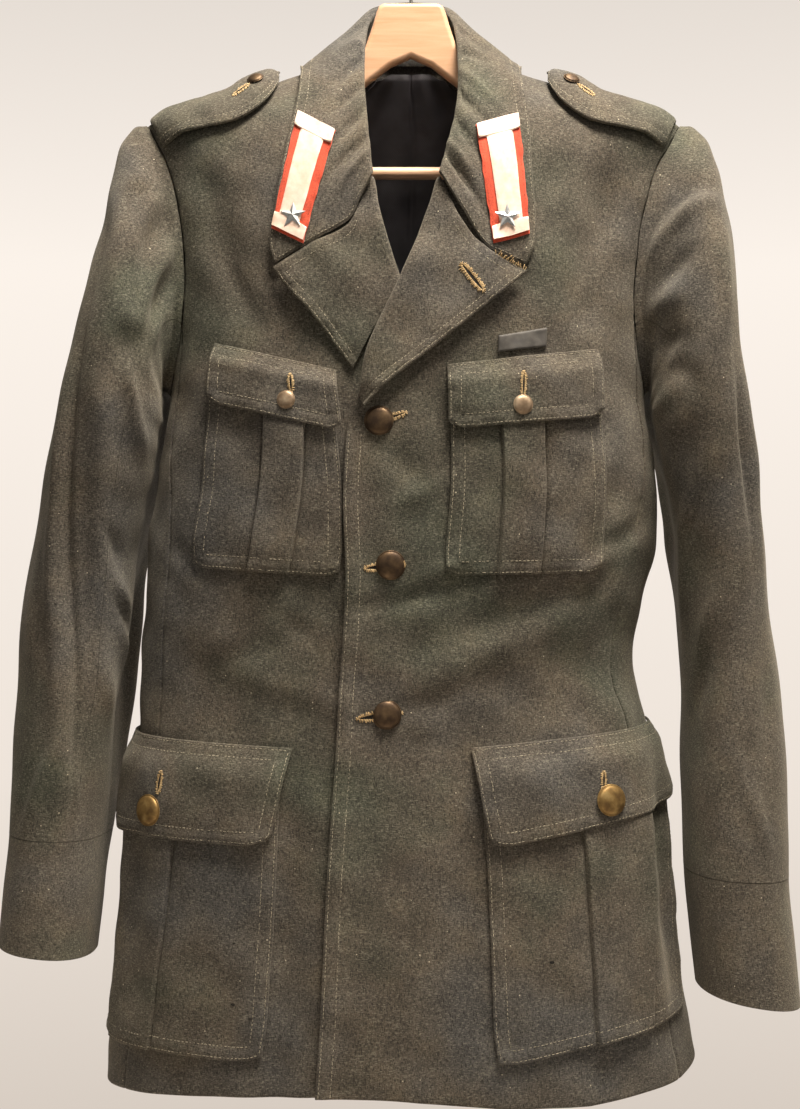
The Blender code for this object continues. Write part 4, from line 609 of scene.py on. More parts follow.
def row_of(points, gaps, border, d, stops=()):
    """Points of a face that lie d in from one border, less those nearer than d to its stops."""
    if border < 2:
        points, gaps = points.transpose(1, 0, 2), gaps.transpose(0, 2, 1)
    found = []
    for i, gap in enumerate(gaps[border]):
        order = np.argsort(gap)
        level = gap[order]
        if level[-1] < d or any(np.interp(d, level, gaps[o][i][order]) < d - 1e-4 for o in stops):
            continue
        found.append([np.interp(d, level, points[i][order][:, k]) for k in range(3)])
    return np.array(found)


def stitch(face, gaps, d, *rows):
    """Marks rows of stitches d in from a border, each given with the borders that stop it."""
    for border, *stops in rows:
        STITCHED.append(row_of(face, gaps, border, d, stops))


HEM_AT = np.array(HEM_LINE).T
ARM_MIDDLE, ARM_TALL = (UNDERARM + SHOULDER) / 2, (SHOULDER - UNDERARM) / 2
JOIN = ARM_MIDDLE + ARM_TALL * math.cos(math.radians(120))  # where a side seam meets the armhole


def hem_drop(f, z):
    """Lowers the bottom rows to the hem line."""
    away = np.interp((f + 2) % 4 - 2, HEM_AT[0], HEM_AT[1]) - HEM
    return z + away * (1 - ease((z - HEM) / 0.10))


def outer_place(z, column):
    """Place where a front (column 1) or the back (2) ends: side seam, armhole, shoulder seam."""
    inside = np.sqrt(np.clip(1 - ((z - ARM_MIDDLE) / ARM_TALL) ** 2, 0, 1))
    away = ARMHOLE_BACK * inside if column == 2 else -ARMHOLE_FRONT * inside
    place = np.where(z < SHOULDER - 1e-6, 1 + away, 1.0)
    return np.where(z <= JOIN + 1e-6, along(SIDE_SEAMS, z, column), place)


def back_place(z):
    """The same for the back with its neck curve, clear of the seam."""
    neck = np.clip((z - NECK_SIDE) / (NECK_BACK - NECK_SIDE), 0, 1)
    return np.where(z > NECK_SIDE, 1 + 0.80 * neck**0.6, outer_place(z, 2)) + PART


def armhole(turn, sign):
    """Place (f, z) on the armhole at a turn from its top; the front is at a quarter turn."""
    reach = np.where(np.sin(turn) > 0, ARMHOLE_FRONT, ARMHOLE_BACK)
    return sign * (1 - reach * np.sin(turn)), ARM_MIDDLE + ARM_TALL * np.cos(turn)


def sew_wool(name, node, face, inner, flat, closed=False, **how):
    return sew(shell(name, face, inner, closed), node, wool, "grey_green_wool", flat, **how)


PART = SEAM / 2 / 0.25
AROUND_HOLE = np.radians(np.arange(117, -1, -3))
PANEL_ROWS = np.concatenate(
    [
        HEM + FINE,
        np.linspace(HEM + 0.017, JOIN, 116),
        armhole(AROUND_HOLE, 1)[1],
        np.linspace(SHOULDER + 0.003, -0.119, 14),
    ]
)
for node, sign, inner, flat, area in (
    ("front_left", 1, left_inner, (0.31, 0.83), 0.178),
    ("front_right", -1, right_inner, (0.28, 0.83), 0.155),
):
    z = PANEL_ROWS
    under_roll = (z > BREAK - 0.002) & (z < GORGE + 0.001)
    edge = quarters_of_x(inner(z) + sign * np.where(under_roll, 0.0042, 0.0), z) * sign
    long = np.interp(z, LEVELS, FRONT_LENGTH)
    across = steps((outer_place(z, 1) - PART - edge) * long, 32)
    f = (edge[:, None] + across / long[:, None]) * sign
    z = hem_drop(f, z[:, None])
    base, off = cloth(f, z, front_lift(f, z) if sign > 0 else 0.0), normal_at(f, z)
    gaps = borders(base)
    relief = turned(gaps, (), (0, 1.0)) + seamed(gaps, (3, 2.0 + sign), (1, 4.0))
    if sign > 0:
        relief = relief + turned(gaps, FRONT_ROWS, (2, 6.0)) * ease((BREAK - 0.006 - z) / 0.006)
    face = base + off * relief[..., None]
    how = {"rests_on": ["hanger_body"], "area": area}
    sew_wool(f"{node}_panel", node, face, base - off * WOOL, flat, **how)
    if sign > 0:
        straight = z[:, 0] < BREAK - 0.004
        for d in FRONT_ROWS:
            stitch(face[straight], gaps[:, straight], d, (2,))

top_place, top_level = armhole(np.radians(120 + 120 * shares(0.10, 24)), 1)
for node, sign in (("side_left", 1), ("side_right", -1)):
    z = HEM + (top_level - HEM) * shares(0.58, 112)[:, None]
    share = (top_place - top_place[0]) / (top_place[-1] - top_place[0])
    first, last = along(SIDE_SEAMS, z, 1) + PART, along(SIDE_SEAMS, z, 2) - PART
    f = (first * (1 - share) + last * share) * sign
    z = hem_drop(f, z)
    base, off = cloth(f, z), normal_at(f, z)
    gaps = borders(base)
    relief = turned(gaps, (), (0, 1.5)) + seamed(gaps, (1, 5.0), (2, 2.0 + sign), (3, 7.0 + sign))
    face = base + off * relief[..., None]
    sew_wool(f"{node}_panel", node, face, base - off * WOOL, (0.125, 0.60), area=0.052)

z = np.concatenate([PANEL_ROWS, np.linspace(NECK_SIDE, -0.1030, 12)])
long = np.interp(z, LEVELS, BACK_LENGTH)
across = steps((4 - 2 * back_place(z)) * long, 66, FINE[:6], FINE[:6])
f = back_place(z)[:, None] + across / long[:, None]
z = hem_drop(f, z[:, None])
base, off = cloth(f, z), normal_at(f, z)
gaps = borders(base)
relief = turned(gaps, (), (0, 2.5)) + seamed(gaps, (1, 5.5), (2, 8.0), (3, 6.0))
face, inner = base + off * relief[..., None], base - off * WOOL
sew_wool("back_panel", "back", face, inner, (0.52, 0.83), rests_on=["hanger_body"], area=0.316)


# ---- Sleeves and cuffs ---------------------------------------------------------------------
# Two-piece sleeves of the same wool, an upper and an under piece sewn at the forearm and
# elbow, set into the armholes with a little fullness. Turned cuffs are sewn round the ends.

SLEEVE_RIGHT = np.array(
    (  # outer point x, z; inner point x, z; half-depth; middle y; share of the armhole's form
        (0.2105, -0.1635, 0.1870, -0.3750, 0.0500, 0.000, 1.00),
        (0.2180, -0.1640, 0.1925, -0.3705, 0.0510, 0.000, 0.92),
        (0.2270, -0.1780, 0.1965, -0.3730, 0.0580, 0.000, 0.55),
        (0.2345, -0.2100, 0.1975, -0.3800, 0.0670, 0.000, 0.25),
        (0.2410, -0.2460, 0.1990, -0.3900, 0.0730, 0.002, 0.10),
        (0.2520, -0.2840, 0.2015, -0.4040, 0.0770, 0.004, 0.00),
        (0.2640, -0.3290, 0.2050, -0.4210, 0.0790, 0.006, 0.00),
        (0.2760, -0.3780, 0.2090, -0.4450, 0.0790, 0.009, 0.00),
        (0.2865, -0.4320, 0.2130, -0.4720, 0.0760, 0.012, 0.00),
        (0.2965, -0.4880, 0.2165, -0.5050, 0.0720, 0.014, 0.00),
        (0.3060, -0.5420, 0.2180, -0.5460, 0.0690, 0.014, 0.00),
        (0.3090, -0.6000, 0.2225, -0.6020, 0.0660, 0.010, 0.00),
        (0.3115, -0.6600, 0.2340, -0.6600, 0.0620, 0.003, 0.00),
        (0.3125, -0.7180, 0.2430, -0.7210, 0.0580, -0.004, 0.00),
        (0.3160, -0.7600, 0.2450, -0.7660, 0.0560, -0.010, 0.00),
        (0.3190, -0.8020, 0.2495, -0.8110, 0.0550, -0.014, 0.00),
    )
)
SLEEVE_LEFT = np.array(
    (
        (0.2125, -0.1635, 0.1830, -0.3750, 0.0500, 0.000, 1.00),
        (0.2200, -0.1640, 0.1880, -0.3705, 0.0510, 0.000, 0.92),
        (0.2310, -0.1750, 0.1910, -0.3730, 0.0580, -0.001, 0.55),
        (0.2385, -0.1970, 0.1920, -0.3800, 0.0660, -0.002, 0.25),
        (0.2450, -0.2260, 0.1935, -0.3890, 0.0710, -0.002, 0.10),
        (0.2510, -0.2700, 0.1950, -0.4000, 0.0760, -0.002, 0.00),
        (0.2550, -0.3280, 0.1970, -0.4140, 0.0790, 0.000, 0.00),
        (0.2625, -0.3840, 0.2010, -0.4380, 0.0790, 0.002, 0.00),
        (0.2700, -0.4360, 0.2045, -0.4680, 0.0760, 0.004, 0.00),
        (0.2755, -0.4880, 0.2085, -0.5020, 0.0730, 0.004, 0.00),
        (0.2800, -0.5520, 0.2115, -0.5560, 0.0700, 0.002, 0.00),
        (0.2870, -0.6180, 0.2150, -0.6180, 0.0660, -0.006, 0.00),
        (0.2900, -0.6820, 0.2150, -0.6800, 0.0620, -0.017, 0.00),
        (0.2885, -0.7480, 0.2155, -0.7450, 0.0580, -0.027, 0.00),
        (0.2920, -0.7960, 0.2185, -0.7900, 0.0560, -0.033, 0.00),
        (0.2955, -0.8440, 0.2225, -0.8320, 0.0550, -0.038, 0.00),
    )
)
SLEEVES = {1: SLEEVE_LEFT, -1: SLEEVE_RIGHT}
CUFF_AT, CUFF_END = 13.0, 15.0  # rings
# Folds of the sleeves. turn: place round (0 outer, 90 front, 180 inner), t: ring, half size in
# degrees, half length in rings, degrees of lean for each ring, height.
SLEEVE_FOLDS = {
    -1: (
        (84.0, 8.8, 3.4, 3.8, 8.0, 0.0046),
        (96.0, 8.8, 14.0, 3.4, 8.0, 0.0030),
        (70.0, 8.8, 9.0, 3.6, 8.0, -0.0068),
        (112.0, 8.4, 12.0, 2.6, 6.0, -0.0026),
        (38.0, 7.0, 18.0, 3.0, 0.0, 0.0035),
        (94.0, 1.7, 5.0, 1.0, 8.0, -0.0070),
        (82.0, 1.8, 6.0, 1.0, 8.0, 0.0042),
        (68.0, 1.7, 5.5, 0.8, 6.0, -0.0040),
        (108.0, 1.9, 5.5, 0.8, 8.0, 0.0038),
        (119.0, 2.3, 6.5, 0.9, 6.0, -0.0042),
        (52.0, 2.0, 6.0, 0.7, -6.0, -0.0030),
        (100.0, 3.6, 8.0, 0.8, -14.0, -0.0032),
        (100.0, 4.6, 11.0, 1.2, -10.0, 0.0040),
        (128.0, 5.6, 9.0, 1.0, 16.0, -0.0035),
        (60.0, 10.4, 14.0, 0.7, 16.0, -0.0035),
        (140.0, 9.7, 8.0, 0.34, 34.0, -0.0042),
        (150.0, 10.4, 8.0, 0.32, 34.0, -0.0042),
        (146.0, 10.05, 7.0, 0.28, 34.0, 0.0034),
        (136.0, 11.1, 9.0, 0.36, 26.0, -0.0036),
        (128.0, 8.8, 9.0, 0.36, 30.0, 0.0030),
        (78.0, 12.3, 8.0, 0.55, -26.0, -0.0040),
        (64.0, 12.5, 8.0, 0.50, -26.0, 0.0028),
        (110.0, 12.2, 9.0, 0.5, 20.0, -0.0028),
        (203.0, 10.3, 28.0, 1.9, 0.0, 0.0180),
        (180.0, 11.1, 34.0, 0.8, 0.0, 0.0062),
        (150.0, 5.8, 24.0, 2.6, 0.0, -0.0070),
        (-70.0, 9.6, 16.0, 0.9, 14.0, -0.0055),
        (-84.0, 10.5, 12.0, 0.45, 18.0, 0.0036),
        (-96.0, 9.2, 9.0, 0.36, 26.0, -0.0036),
        (-60.0, 4.0, 14.0, 1.3, 8.0, -0.0050),
        (-92.0, 1.8, 6.0, 0.9, -8.0, -0.0045),
        (-76.0, 2.0, 6.0, 0.8, -8.0, 0.0034),
    ),
    1: (
        (70.0, 2.2, 7.5, 1.2, -20.0, -0.0055),
        (56.0, 2.4, 8.0, 1.1, -20.0, 0.0036),
        (92.0, 2.4, 6.0, 0.9, -14.0, 0.0036),
        (106.0, 2.4, 7.0, 0.9, -10.0, -0.0046),
        (120.0, 3.2, 7.0, 0.9, -10.0, 0.0030),
        (60.0, 4.6, 10.0, 1.0, 8.0, -0.0030),
        (118.0, 4.8, 8.0, 0.9, -12.0, 0.0030),
        (66.0, 7.6, 4.4, 1.1, 2.0, 0.0044),
        (50.0, 7.6, 9.0, 1.6, 2.0, -0.0042),
        (30.0, 7.2, 14.0, 2.4, 0.0, 0.0030),
        (148.0, 9.0, 10.0, 0.9, 12.0, -0.0048),
        (132.0, 8.4, 7.0, 0.5, 24.0, 0.0032),
        (124.0, 10.0, 8.0, 0.42, 28.0, -0.0034),
        (136.0, 10.7, 8.0, 0.40, 28.0, 0.0030),
        (92.0, 9.6, 9.0, 0.6, 20.0, -0.0026),
        (66.0, 11.2, 14.0, 1.0, 8.0, 0.0036),
        (84.0, 12.2, 8.0, 0.5, -26.0, -0.0036),
        (204.0, 8.3, 28.0, 2.0, 0.0, 0.0120),
        (150.0, 5.0, 24.0, 2.8, 0.0, -0.0080),
        (-70.0, 9.6, 16.0, 0.9, -14.0, -0.0055),
        (-84.0, 10.5, 12.0, 0.45, -18.0, 0.0036),
        (-98.0, 9.0, 9.0, 0.36, -26.0, -0.0036),
        (-60.0, 4.0, 14.0, 1.3, -8.0, -0.0050),
        (-92.0, 1.8, 6.0, 0.9, 8.0, -0.0045),
        (-76.0, 2.0, 6.0, 0.8, 8.0, 0.0034),
    ),
}
BACK_IN = {1: 0.0125, -1: 0.0180}  # how far a sleeve's back leans in behind the body
LEAN_ENDS = {1: 10.8, -1: 14.0}  # ring where it is upright again
SQUARE = 2 / 2.25


def bumps(table, a, b, wrap=None):
    """Sum of soft ridges and troughs: middles, half sizes, lean of a for each b, and height."""
    total = 0.0
    for a_middle, b_middle, a_wide, b_wide, lean, high in table:
        away = a - a_middle - lean * (b - b_middle)
        if wrap:
            away = (away + wrap / 2) % wrap - wrap / 2
        total = total + high * np.exp(-((away / a_wide) ** 2) - ((b - b_middle) / b_wide) ** 2)
    return total


def armhole_edge(turn, sign):
    """Sleeve's first ring: the armhole's points moved a seam's width off the body."""
    f, z = armhole(turn, sign)
    place = cloth(f, z)
    ahead, behind = (cloth(*armhole(turn + step, sign)) for step in (0.02, -0.02))
    off = unit(np.cross(normal_at(f, z), ahead - behind))
    hole = cloth(*armhole(turn * 0 + math.pi / 2, sign))
    centre = np.array([hole[..., 0].mean(), 0.0, ARM_MIDDLE])
    return place + off * np.sign(((centre - place) * off).sum(-1, keepdims=True)) * SEAM


def bare_sleeve(turn, t, sign):
    """Point of the sleeve without its folds, at a turn round it and a ring number."""

    def at(rings):
        read = [smooth(rings, np.arange(16), column) for column in SLEEVES[sign].T]
        x_out, z_out, x_in, z_in, deep, y, share = read
        c, s = (np.sign(v) * np.abs(v) ** SQUARE for v in (np.cos(turn), np.sin(turn)))
        lean = BACK_IN[sign] * ease((rings - 1.5) / 3) * ease((LEAN_ENDS[sign] - rings) / 2.0)
        x = (x_out + x_in) / 2 + (x_out - x_in) / 2 * c - lean * np.maximum(-s, 0)
        z = (z_out + z_in) / 2 + (z_out - z_in) / 2 * c
        return np.stack([sign * x, y - deep * s, z], axis=-1), share[..., None]

    place, share = at(t)
    return place + share * (armhole_edge(turn, sign) - at(t * 0)[0])


def sleeve(turn, t, sign):
    """Point of the sleeve's face and its normal."""
    turn, t = np.broadcast_arrays(turn, np.asarray(t, float))
    ways = (0.03, *FREE), (0.05, 0, CUFF_END)
    normal = normal_of(lambda a, b: bare_sleeve(a, b, sign), turn, t, *ways) * -sign
    waves = ((3, 2.1, 0), (5, -3.3, sign), (2, 5.2, 0))
    uneven = sum(np.sin(round_it * turn + down * t + shift) for round_it, down, shift in waves)
    high = bumps(SLEEVE_FOLDS[sign], np.degrees(turn), t, 360) + 0.0003 * uneven
    high = high * ease(t / 1.5) * ease(CUFF_AT + 0.2 - t)
    return bare_sleeve(turn, t, sign) + normal * high[..., None], normal


RING_STEPS = np.concatenate(
    [
        (0, 0.02, 0.05, 0.10, 0.17, 0.26, 0.38),
        np.arange(0.5, 12.9, 0.125),
        (12.90, 12.95, 12.975, CUFF_AT - 0.008),
    ]
)
CUFF_STEPS = np.concatenate(
    [
        CUFF_AT + np.array((0, 0.012, 0.03, 0.06, 0.10, 0.17)),
        np.linspace(13.25, 14.72, 12),
        (14.82, 14.90, 14.95, 14.98, CUFF_END),
    ]
)
EDGE_TURNS = np.array((0.17, 0.5, 1.1, 2.0, 3.2, 4.8, 7.0))
CUFF_TOP_ROW, CUFF_END_ROW = 0.0024, 0.0060
for side, sign in (("left", 1), ("right", -1)):
    for kind, start, stop, count, flat, area in (
        ("upper", -120, 120, 90, (0.27, 0.62), 0.134),
        ("under", 120, 240, 44, (0.14, 0.48), 0.053),
    ):
        middle = np.linspace(start + 9, stop - 9, count)
        turns = np.concatenate([start + EDGE_TURNS, middle, (stop - EDGE_TURNS)[::-1]])
        base, off = sleeve(np.radians(turns)[None], RING_STEPS[:, None], sign)
        gaps = borders(base)
        relief = seamed(gaps, (0, 3.0 + sign)) * 1.6 + seamed(gaps, (2, 5.0), (3, 8.5), (1, 9.0))
        if kind == "upper":
            head = np.exp(-(((gaps[0] - 0.012) / 0.012) ** 2))
            relief = relief + ripple(gaps[2], 0.0008, 2.0 + sign) * head
        face, node = base + off * relief[..., None], f"sleeve_{side}_{kind}"
        sew_wool(f"{node}_cloth", node, face, base - off * WOOL, flat, area=area)
    base, off = sleeve(np.radians(np.arange(0, 360, 2.5))[None], CUFF_STEPS[:, None], sign)
    gaps = borders(base)
    relief = 0.0010 + turned(gaps, (CUFF_TOP_ROW,), (0, 3.0 + sign))
    relief = relief + turned(gaps, (CUFF_END_ROW,), (1, 4.0 + sign))
    face, inner, node = base + off * relief[..., None], base - off * 0.0020, f"cuff_{side}"
    sew_wool(f"{node}_cloth", node, face, inner, (0.31, 0.105), True, held="folded", area=0.028)
    stitch(face, gaps, CUFF_END_ROW, (1,))
    stitch(face, gaps, CUFF_TOP_ROW, (0,))


# ---- Collar ----------------------------------------------------------------------------------
# Stand-and-fall collar, two layers of the wool turned together, sewn to the neckline and
# rolled over. Its free edge is pressed and stitched twice, and the rolled crest is dimpled.

COLLAR = (
    # foot on the neckline, crest of the roll, middle of the fall, free edge
    ((0.000, 0.0400, -0.1035), (0.000, 0.0410, -0.052), (0.000, 0.0500, -0.085), (0.000, 0.0525, -0.113)),
    ((0.024, 0.0360, -0.1035), (0.0175, 0.0385, -0.054), (0.031, 0.0460, -0.086), (0.036, 0.0460, -0.114)),
    ((0.044, 0.0265, -0.1060), (0.0300, 0.0270, -0.062), (0.055, 0.0295, -0.091), (0.067, 0.0320, -0.117)),
    ((0.0605, 0.0020, -0.1130), (0.0360, 0.0100, -0.078), (0.066, 0.0060, -0.098), (0.086, 0.0060, -0.1145)),
    ((0.055, -0.022, -0.131), (0.038, -0.015, -0.104), (0.066, -0.023, -0.121), (0.0865, -0.034, -0.137)),
    ((0.049, -0.037, -0.151), (0.0375, -0.034, -0.135), (0.066, -0.045, -0.152), (0.09, -0.049, -0.166)),
    ((0.0415, -0.05, -0.175), (0.0345, -0.0515, -0.166), (0.066, -0.062, -0.19), (0.0955, -0.0645, -0.216)),
    ((0.033, -0.0615, -0.2), (0.0295, -0.0655, -0.196), (0.06, -0.0705, -0.224), (0.1, -0.0705, -0.263)),
)
COLLAR_ENDS = {
    1: ((0.03, -0.0705, -0.2195), (0.0262, -0.0745, -0.215), (0.0635, -0.0745, -0.2705),
        (0.0952, -0.073, -0.2845)),
    -1: ((0.03, -0.0705, -0.2195), (0.0262, -0.0745, -0.215), (0.0417, -0.0755, -0.2505),
        (0.0943, -0.073, -0.2826)),
}
COLLAR_ROLL, FALL_CLEAR, TWO_PLY = 0.0032, 0.0034, 0.0026
DIMPLES = (  # along the collar, across it, half sizes of both, lean along for each step across, depth
    (3.4, 4, 0.19, 1.2, 0.1, 0.0043),
    (4.2, 3.9, 0.14, 1.3, -0.12, 0.0038),
    (4.9, 4.2, 0.17, 1.4, 0.12, -0.0029),
    (5.5, 3.9, 0.16, 1.3, 0.14, 0.0049),
    (6.3, 4.3, 0.16, 1.2, 0.16, 0.0043),
    (6.9, 4.4, 0.14, 1, 0.1, -0.0032),
    (7.3, 4.6, 0.13, 1, 0.1, 0.0038),
    (-3.1, 3.9, 0.19, 1.3, -0.1, 0.0043),
    (-3.9, 4, 0.16, 1.3, 0.12, -0.0032),
    (-4.5, 4, 0.17, 1.3, -0.14, 0.0052),
    (-5.3, 4.1, 0.14, 1.2, -0.12, 0.0038),
    (-6, 4.2, 0.17, 1.2, -0.16, 0.0049),
    (-6.7, 4.5, 0.14, 1.1, -0.1, 0.0041),
    (-7.2, 4.6, 0.13, 1, -0.12, -0.0032),
    (1.2, 3.8, 0.29, 1.2, 0, 0.0026),
    (-0.8, 3.9, 0.26, 1.2, 0, 0.0023),
)
COLLAR_ROWS = (0.0022, 0.0105)


def through(x, xs, points):
    """Smooth curve through points in space, at x."""
    return np.stack([smooth(x, xs, column) for column in np.array(points, float).T], axis=-1)


def collar(s, q):
    """Point of the collar: s along it from the back, q across, 0 foot, 3 crest, 8 free edge."""
    s, q = np.broadcast_arrays(np.asarray(s, float), np.asarray(q, float))
    read = []
    for k in range(4):
        rows = [[row[k] for row in (*COLLAR, COLLAR_ENDS[sign])] for sign in (1, -1)]
        points = np.where((s > 0)[..., None], *(through(np.abs(s), np.arange(9), row) for row in rows))
        points[..., 0] = points[..., 0] * np.sign(s)
        points[..., 0] += along(COLLAR_SHIFT, points[..., 2])
        read.append(points)
    foot, crest, mid, edge = read
    up = unit(crest - (foot + mid) / 2)
    away = unit(mid - foot - ((mid - foot) * up).sum(-1, keepdims=True) * up)
    inner, outer = crest - COLLAR_ROLL * (away + 1.1 * up), crest + COLLAR_ROLL * (away - 1.1 * up)
    knots = [foot, (foot + inner) / 2, inner, crest, outer, (outer + mid) / 2, mid, (mid + edge) / 2, edge]
    knots, i = np.stack(knots), np.clip(q.astype(int), 0, 7)
    t = (q - i)[..., None]
    near = [np.clip(i + k, 0, 8)[None, ..., None] for k in (-1, 0, 1, 2)]
    a, b, c, d = (np.take_along_axis(knots, index, axis=0)[0] for index in near)
    a = np.where((i == 0)[..., None], 2 * b - c, a)
    d = np.where((i == 7)[..., None], 2 * c - b, d)
    cubic = (2 * a - 5 * b + 4 * c - d) * t**2 + (3 * b - a - 3 * c + d) * t**3
    point = 0.5 * (2 * b + (c - a) * t + cubic)
    z = np.minimum(point[..., 2], -0.117)
    f = quarters_of_x(point[..., 0], z)
    normal = normal_at(f, z)
    height = FALL_CLEAR + np.where(s > 0, front_lift(f, z), 0.0)
    short = height - ((point - cloth(f, z)) * normal).sum(-1)
    near = ease((-0.117 - point[..., 2]) / 0.006) * ease(-point[..., 1] / 0.006)
    clear = point + normal * (np.maximum(short, 0) * near)[..., None]
    return np.where((q > 4)[..., None], clear, point)


def collar_frame(s, q):
    """Point of the collar's middle and its normal, outwards on the fall."""
    s, q = np.broadcast_arrays(np.asarray(s, float), np.asarray(q, float))
    return collar(s, q), normal_of(collar, s, q, (0.05, -8, 8), (0.1, 0, 8))


half = np.append(np.arange(0, 7.6, 0.075), (7.62, 7.7, 7.78, 7.85, 7.90, 7.94, 7.97, 7.99, 8.0))
s_at = np.concatenate([-half[:0:-1], half])[:, None]
q_at = np.append(np.arange(0, 7.3, 0.12), (7.36, 7.48, 7.58, 7.68, 7.76, 7.84, 7.90, 7.94, 7.97, 8.0))[None]
base, off = collar_frame(s_at, q_at)
gaps = borders(base)
dips = -bumps(DIMPLES, s_at, q_at) * ease((q_at - 2.6) / 1.2)
fall = ease((q_at - 4.2) / 0.8)
relief = turned(gaps, COLLAR_ROWS, (3, 2.0)) + dips + seamed(gaps, (2, 6.0))
relief = relief + seamed(gaps[[0, 1, 3, 2]], (0, 3.0), (1, 4.0)) * fall
face = base + off * (TWO_PLY / 2 + relief)[..., None]
inner = base + off * (dips * (fall < 0.5) - TWO_PLY / 2)[..., None]
sew_wool("collar_cloth", "collar", face, inner, (0.48, 0.12), held="folded", area=0.046)
for d in COLLAR_ROWS:
    for end, part in ((0, s_at[:, 0] < 0), (1, s_at[:, 0] > 0)):
        stitch(face[part], gaps[:, part], d, (3, end))
on_fall = q_at[0] > 4.6
for end, part in ((0, s_at[:, 0] < -6), (1, s_at[:, 0] > 6)):
    stitch(face[part][:, on_fall], gaps[:, part][:, :, on_fall], COLLAR_ROWS[0], (end, 3))


# ---- Lapels ----------------------------------------------------------------------------------
# The fronts' upper edges turned back from the break, two layers pressed flat, edge-stitched.
# The wearer's left one crosses over the right and carries a worked buttonhole.

LAPELS = {
    1: (
        ((0.0214, -0.2174), (0.0285, -0.2323), (0.0357, -0.2480), (0.0569, -0.2731), (0.0862, -0.2890)),
        ((0.0862, -0.2895), (0.0339, -0.3338), (0.0092, -0.3535), (-0.0176, -0.3745), (-0.0430, -0.4000)),
        ROLL_LEFT,
        BREAK + 0.004,
    ),
    -1: (
        ((-0.0294, -0.2171), (-0.0380, -0.2354), (-0.0464, -0.2534), (-0.0745, -0.2682), (-0.1035, -0.2857)),
        ((-0.1035, -0.2862), (-0.0945, -0.2995), (-0.0785, -0.3167), (-0.0535, -0.3503), (-0.0395, -0.3690)),
        ROLL_RIGHT,
        CROSSING - 0.005,
    ),
}
LAPEL_ROLL = np.array(((0.003, -0.00105), (0.0012, -0.0008), (0, 0.0012), (0.0012, 0.0034), (0.005, 0.0044)))
LAPEL_ROWS, GORGE_ROW = (0.0022, 0.0075), 0.0078


def along_path(path, t):
    """Point at an even share t of a path."""
    run = np.cumsum(np.linalg.norm(np.diff(path, axis=0), axis=1))
    return through(t * run[-1], np.append(0, run), path)


def lapel(sign, r, column):
    """Middle of the lapel's cloth: r from the gorge down, the first five columns round the roll."""
    gorge, edge, roll, end = LAPELS[sign]
    r, column = np.broadcast_arrays(np.asarray(r, float), np.asarray(column, float))

    def flat(q):
        z, share = GORGE + 0.0005 + (end - GORGE) * r, q[..., None]
        straight = np.array(gorge[0]) * (1 - share) + np.array(gorge[-1]) * share
        bend = (along_path(gorge, q) - straight) * (1 - r)[..., None] ** 2.2
        return np.stack([along(roll, z), z], axis=-1) * (1 - share) + along_path(edge, r) * share + bend

    wide = np.linalg.norm(flat(r * 0 + 1) - flat(r * 0), axis=-1)
    beyond = np.clip((column - 4) / 4, 0, 1)
    last = LAPEL_ROLL[-1, 0] / wide
    off_roll, high = (smooth(column, np.arange(5), LAPEL_ROLL[:, k]) for k in (0, 1))
    q = np.where(column <= 4, np.minimum(off_roll / wide, 0.9), last + (1 - last) * beyond)
    high = np.where(column <= 4, high, LAPEL_ROLL[-1, 1] - 0.0012 * beyond)
    high = high + 0.0045 * beyond**1.6 * (1.0 if sign > 0 else ease((0.70 - r) / 0.35))
    x, z = np.moveaxis(flat(q), -1, 0)
    f = quarters_of_x(x, z)
    return cloth(f, z, high + (front_lift(f, z) if sign > 0 else 0.0))


LAPEL_FACES = {}
r = np.concatenate([(0.004, 0.010, 0.018, 0.030, 0.044, 0.064), np.linspace(0.08, 0.90, 54), (0.915, 0.93)])
column = np.append(np.arange(0, 4, 0.22), 4 + 4 * shares(0.09, 26, FINE[:2]))
ways = (0.01, 0, 1), (0.05, 0, 8)
for node, sign, flat, area in (
    ("lapel_left", 1, (0.125, 0.150), 0.0094),
    ("lapel_right", -1, (0.105, 0.135), 0.0070),
):
    base = lapel(sign, r[:, None], column[None])
    off = normal_of(lambda a, b: lapel(sign, a, b), r[:, None], column[None], *ways) * sign
    gaps = borders(base)
    relief = turned(gaps, LAPEL_ROWS, (3, 3.0 + sign)) + seamed(gaps, (0, 5.0 + sign))
    drawn = np.sin(gaps[0] / 0.0065 + 2 * gaps[2] / 0.011) * np.exp(-((gaps[0] / 0.028) ** 2))
    face = base + off * (WOOL / 2 + relief + 0.0006 * drawn)[..., None]
    LAPEL_FACES[sign] = face
    sew_wool(f"{node}_cloth", node, face, base - off * WOOL / 2, flat, held="folded", area=area)
    for d in LAPEL_ROWS:
        stitch(face[1:-3], gaps[:, 1:-3], d, (3, 0))
    stitch(face[:, 27:], gaps[:, :, 27:], GORGE_ROW, (0, 3))


# ---- Pockets and flaps -------------------------------------------------------------------------
# Four patch pockets with a raised box pleat down the middle, stitched on round three sides at
# the edge and again 10 mm in. Pointed, stitched flaps are sewn on over their mouths.

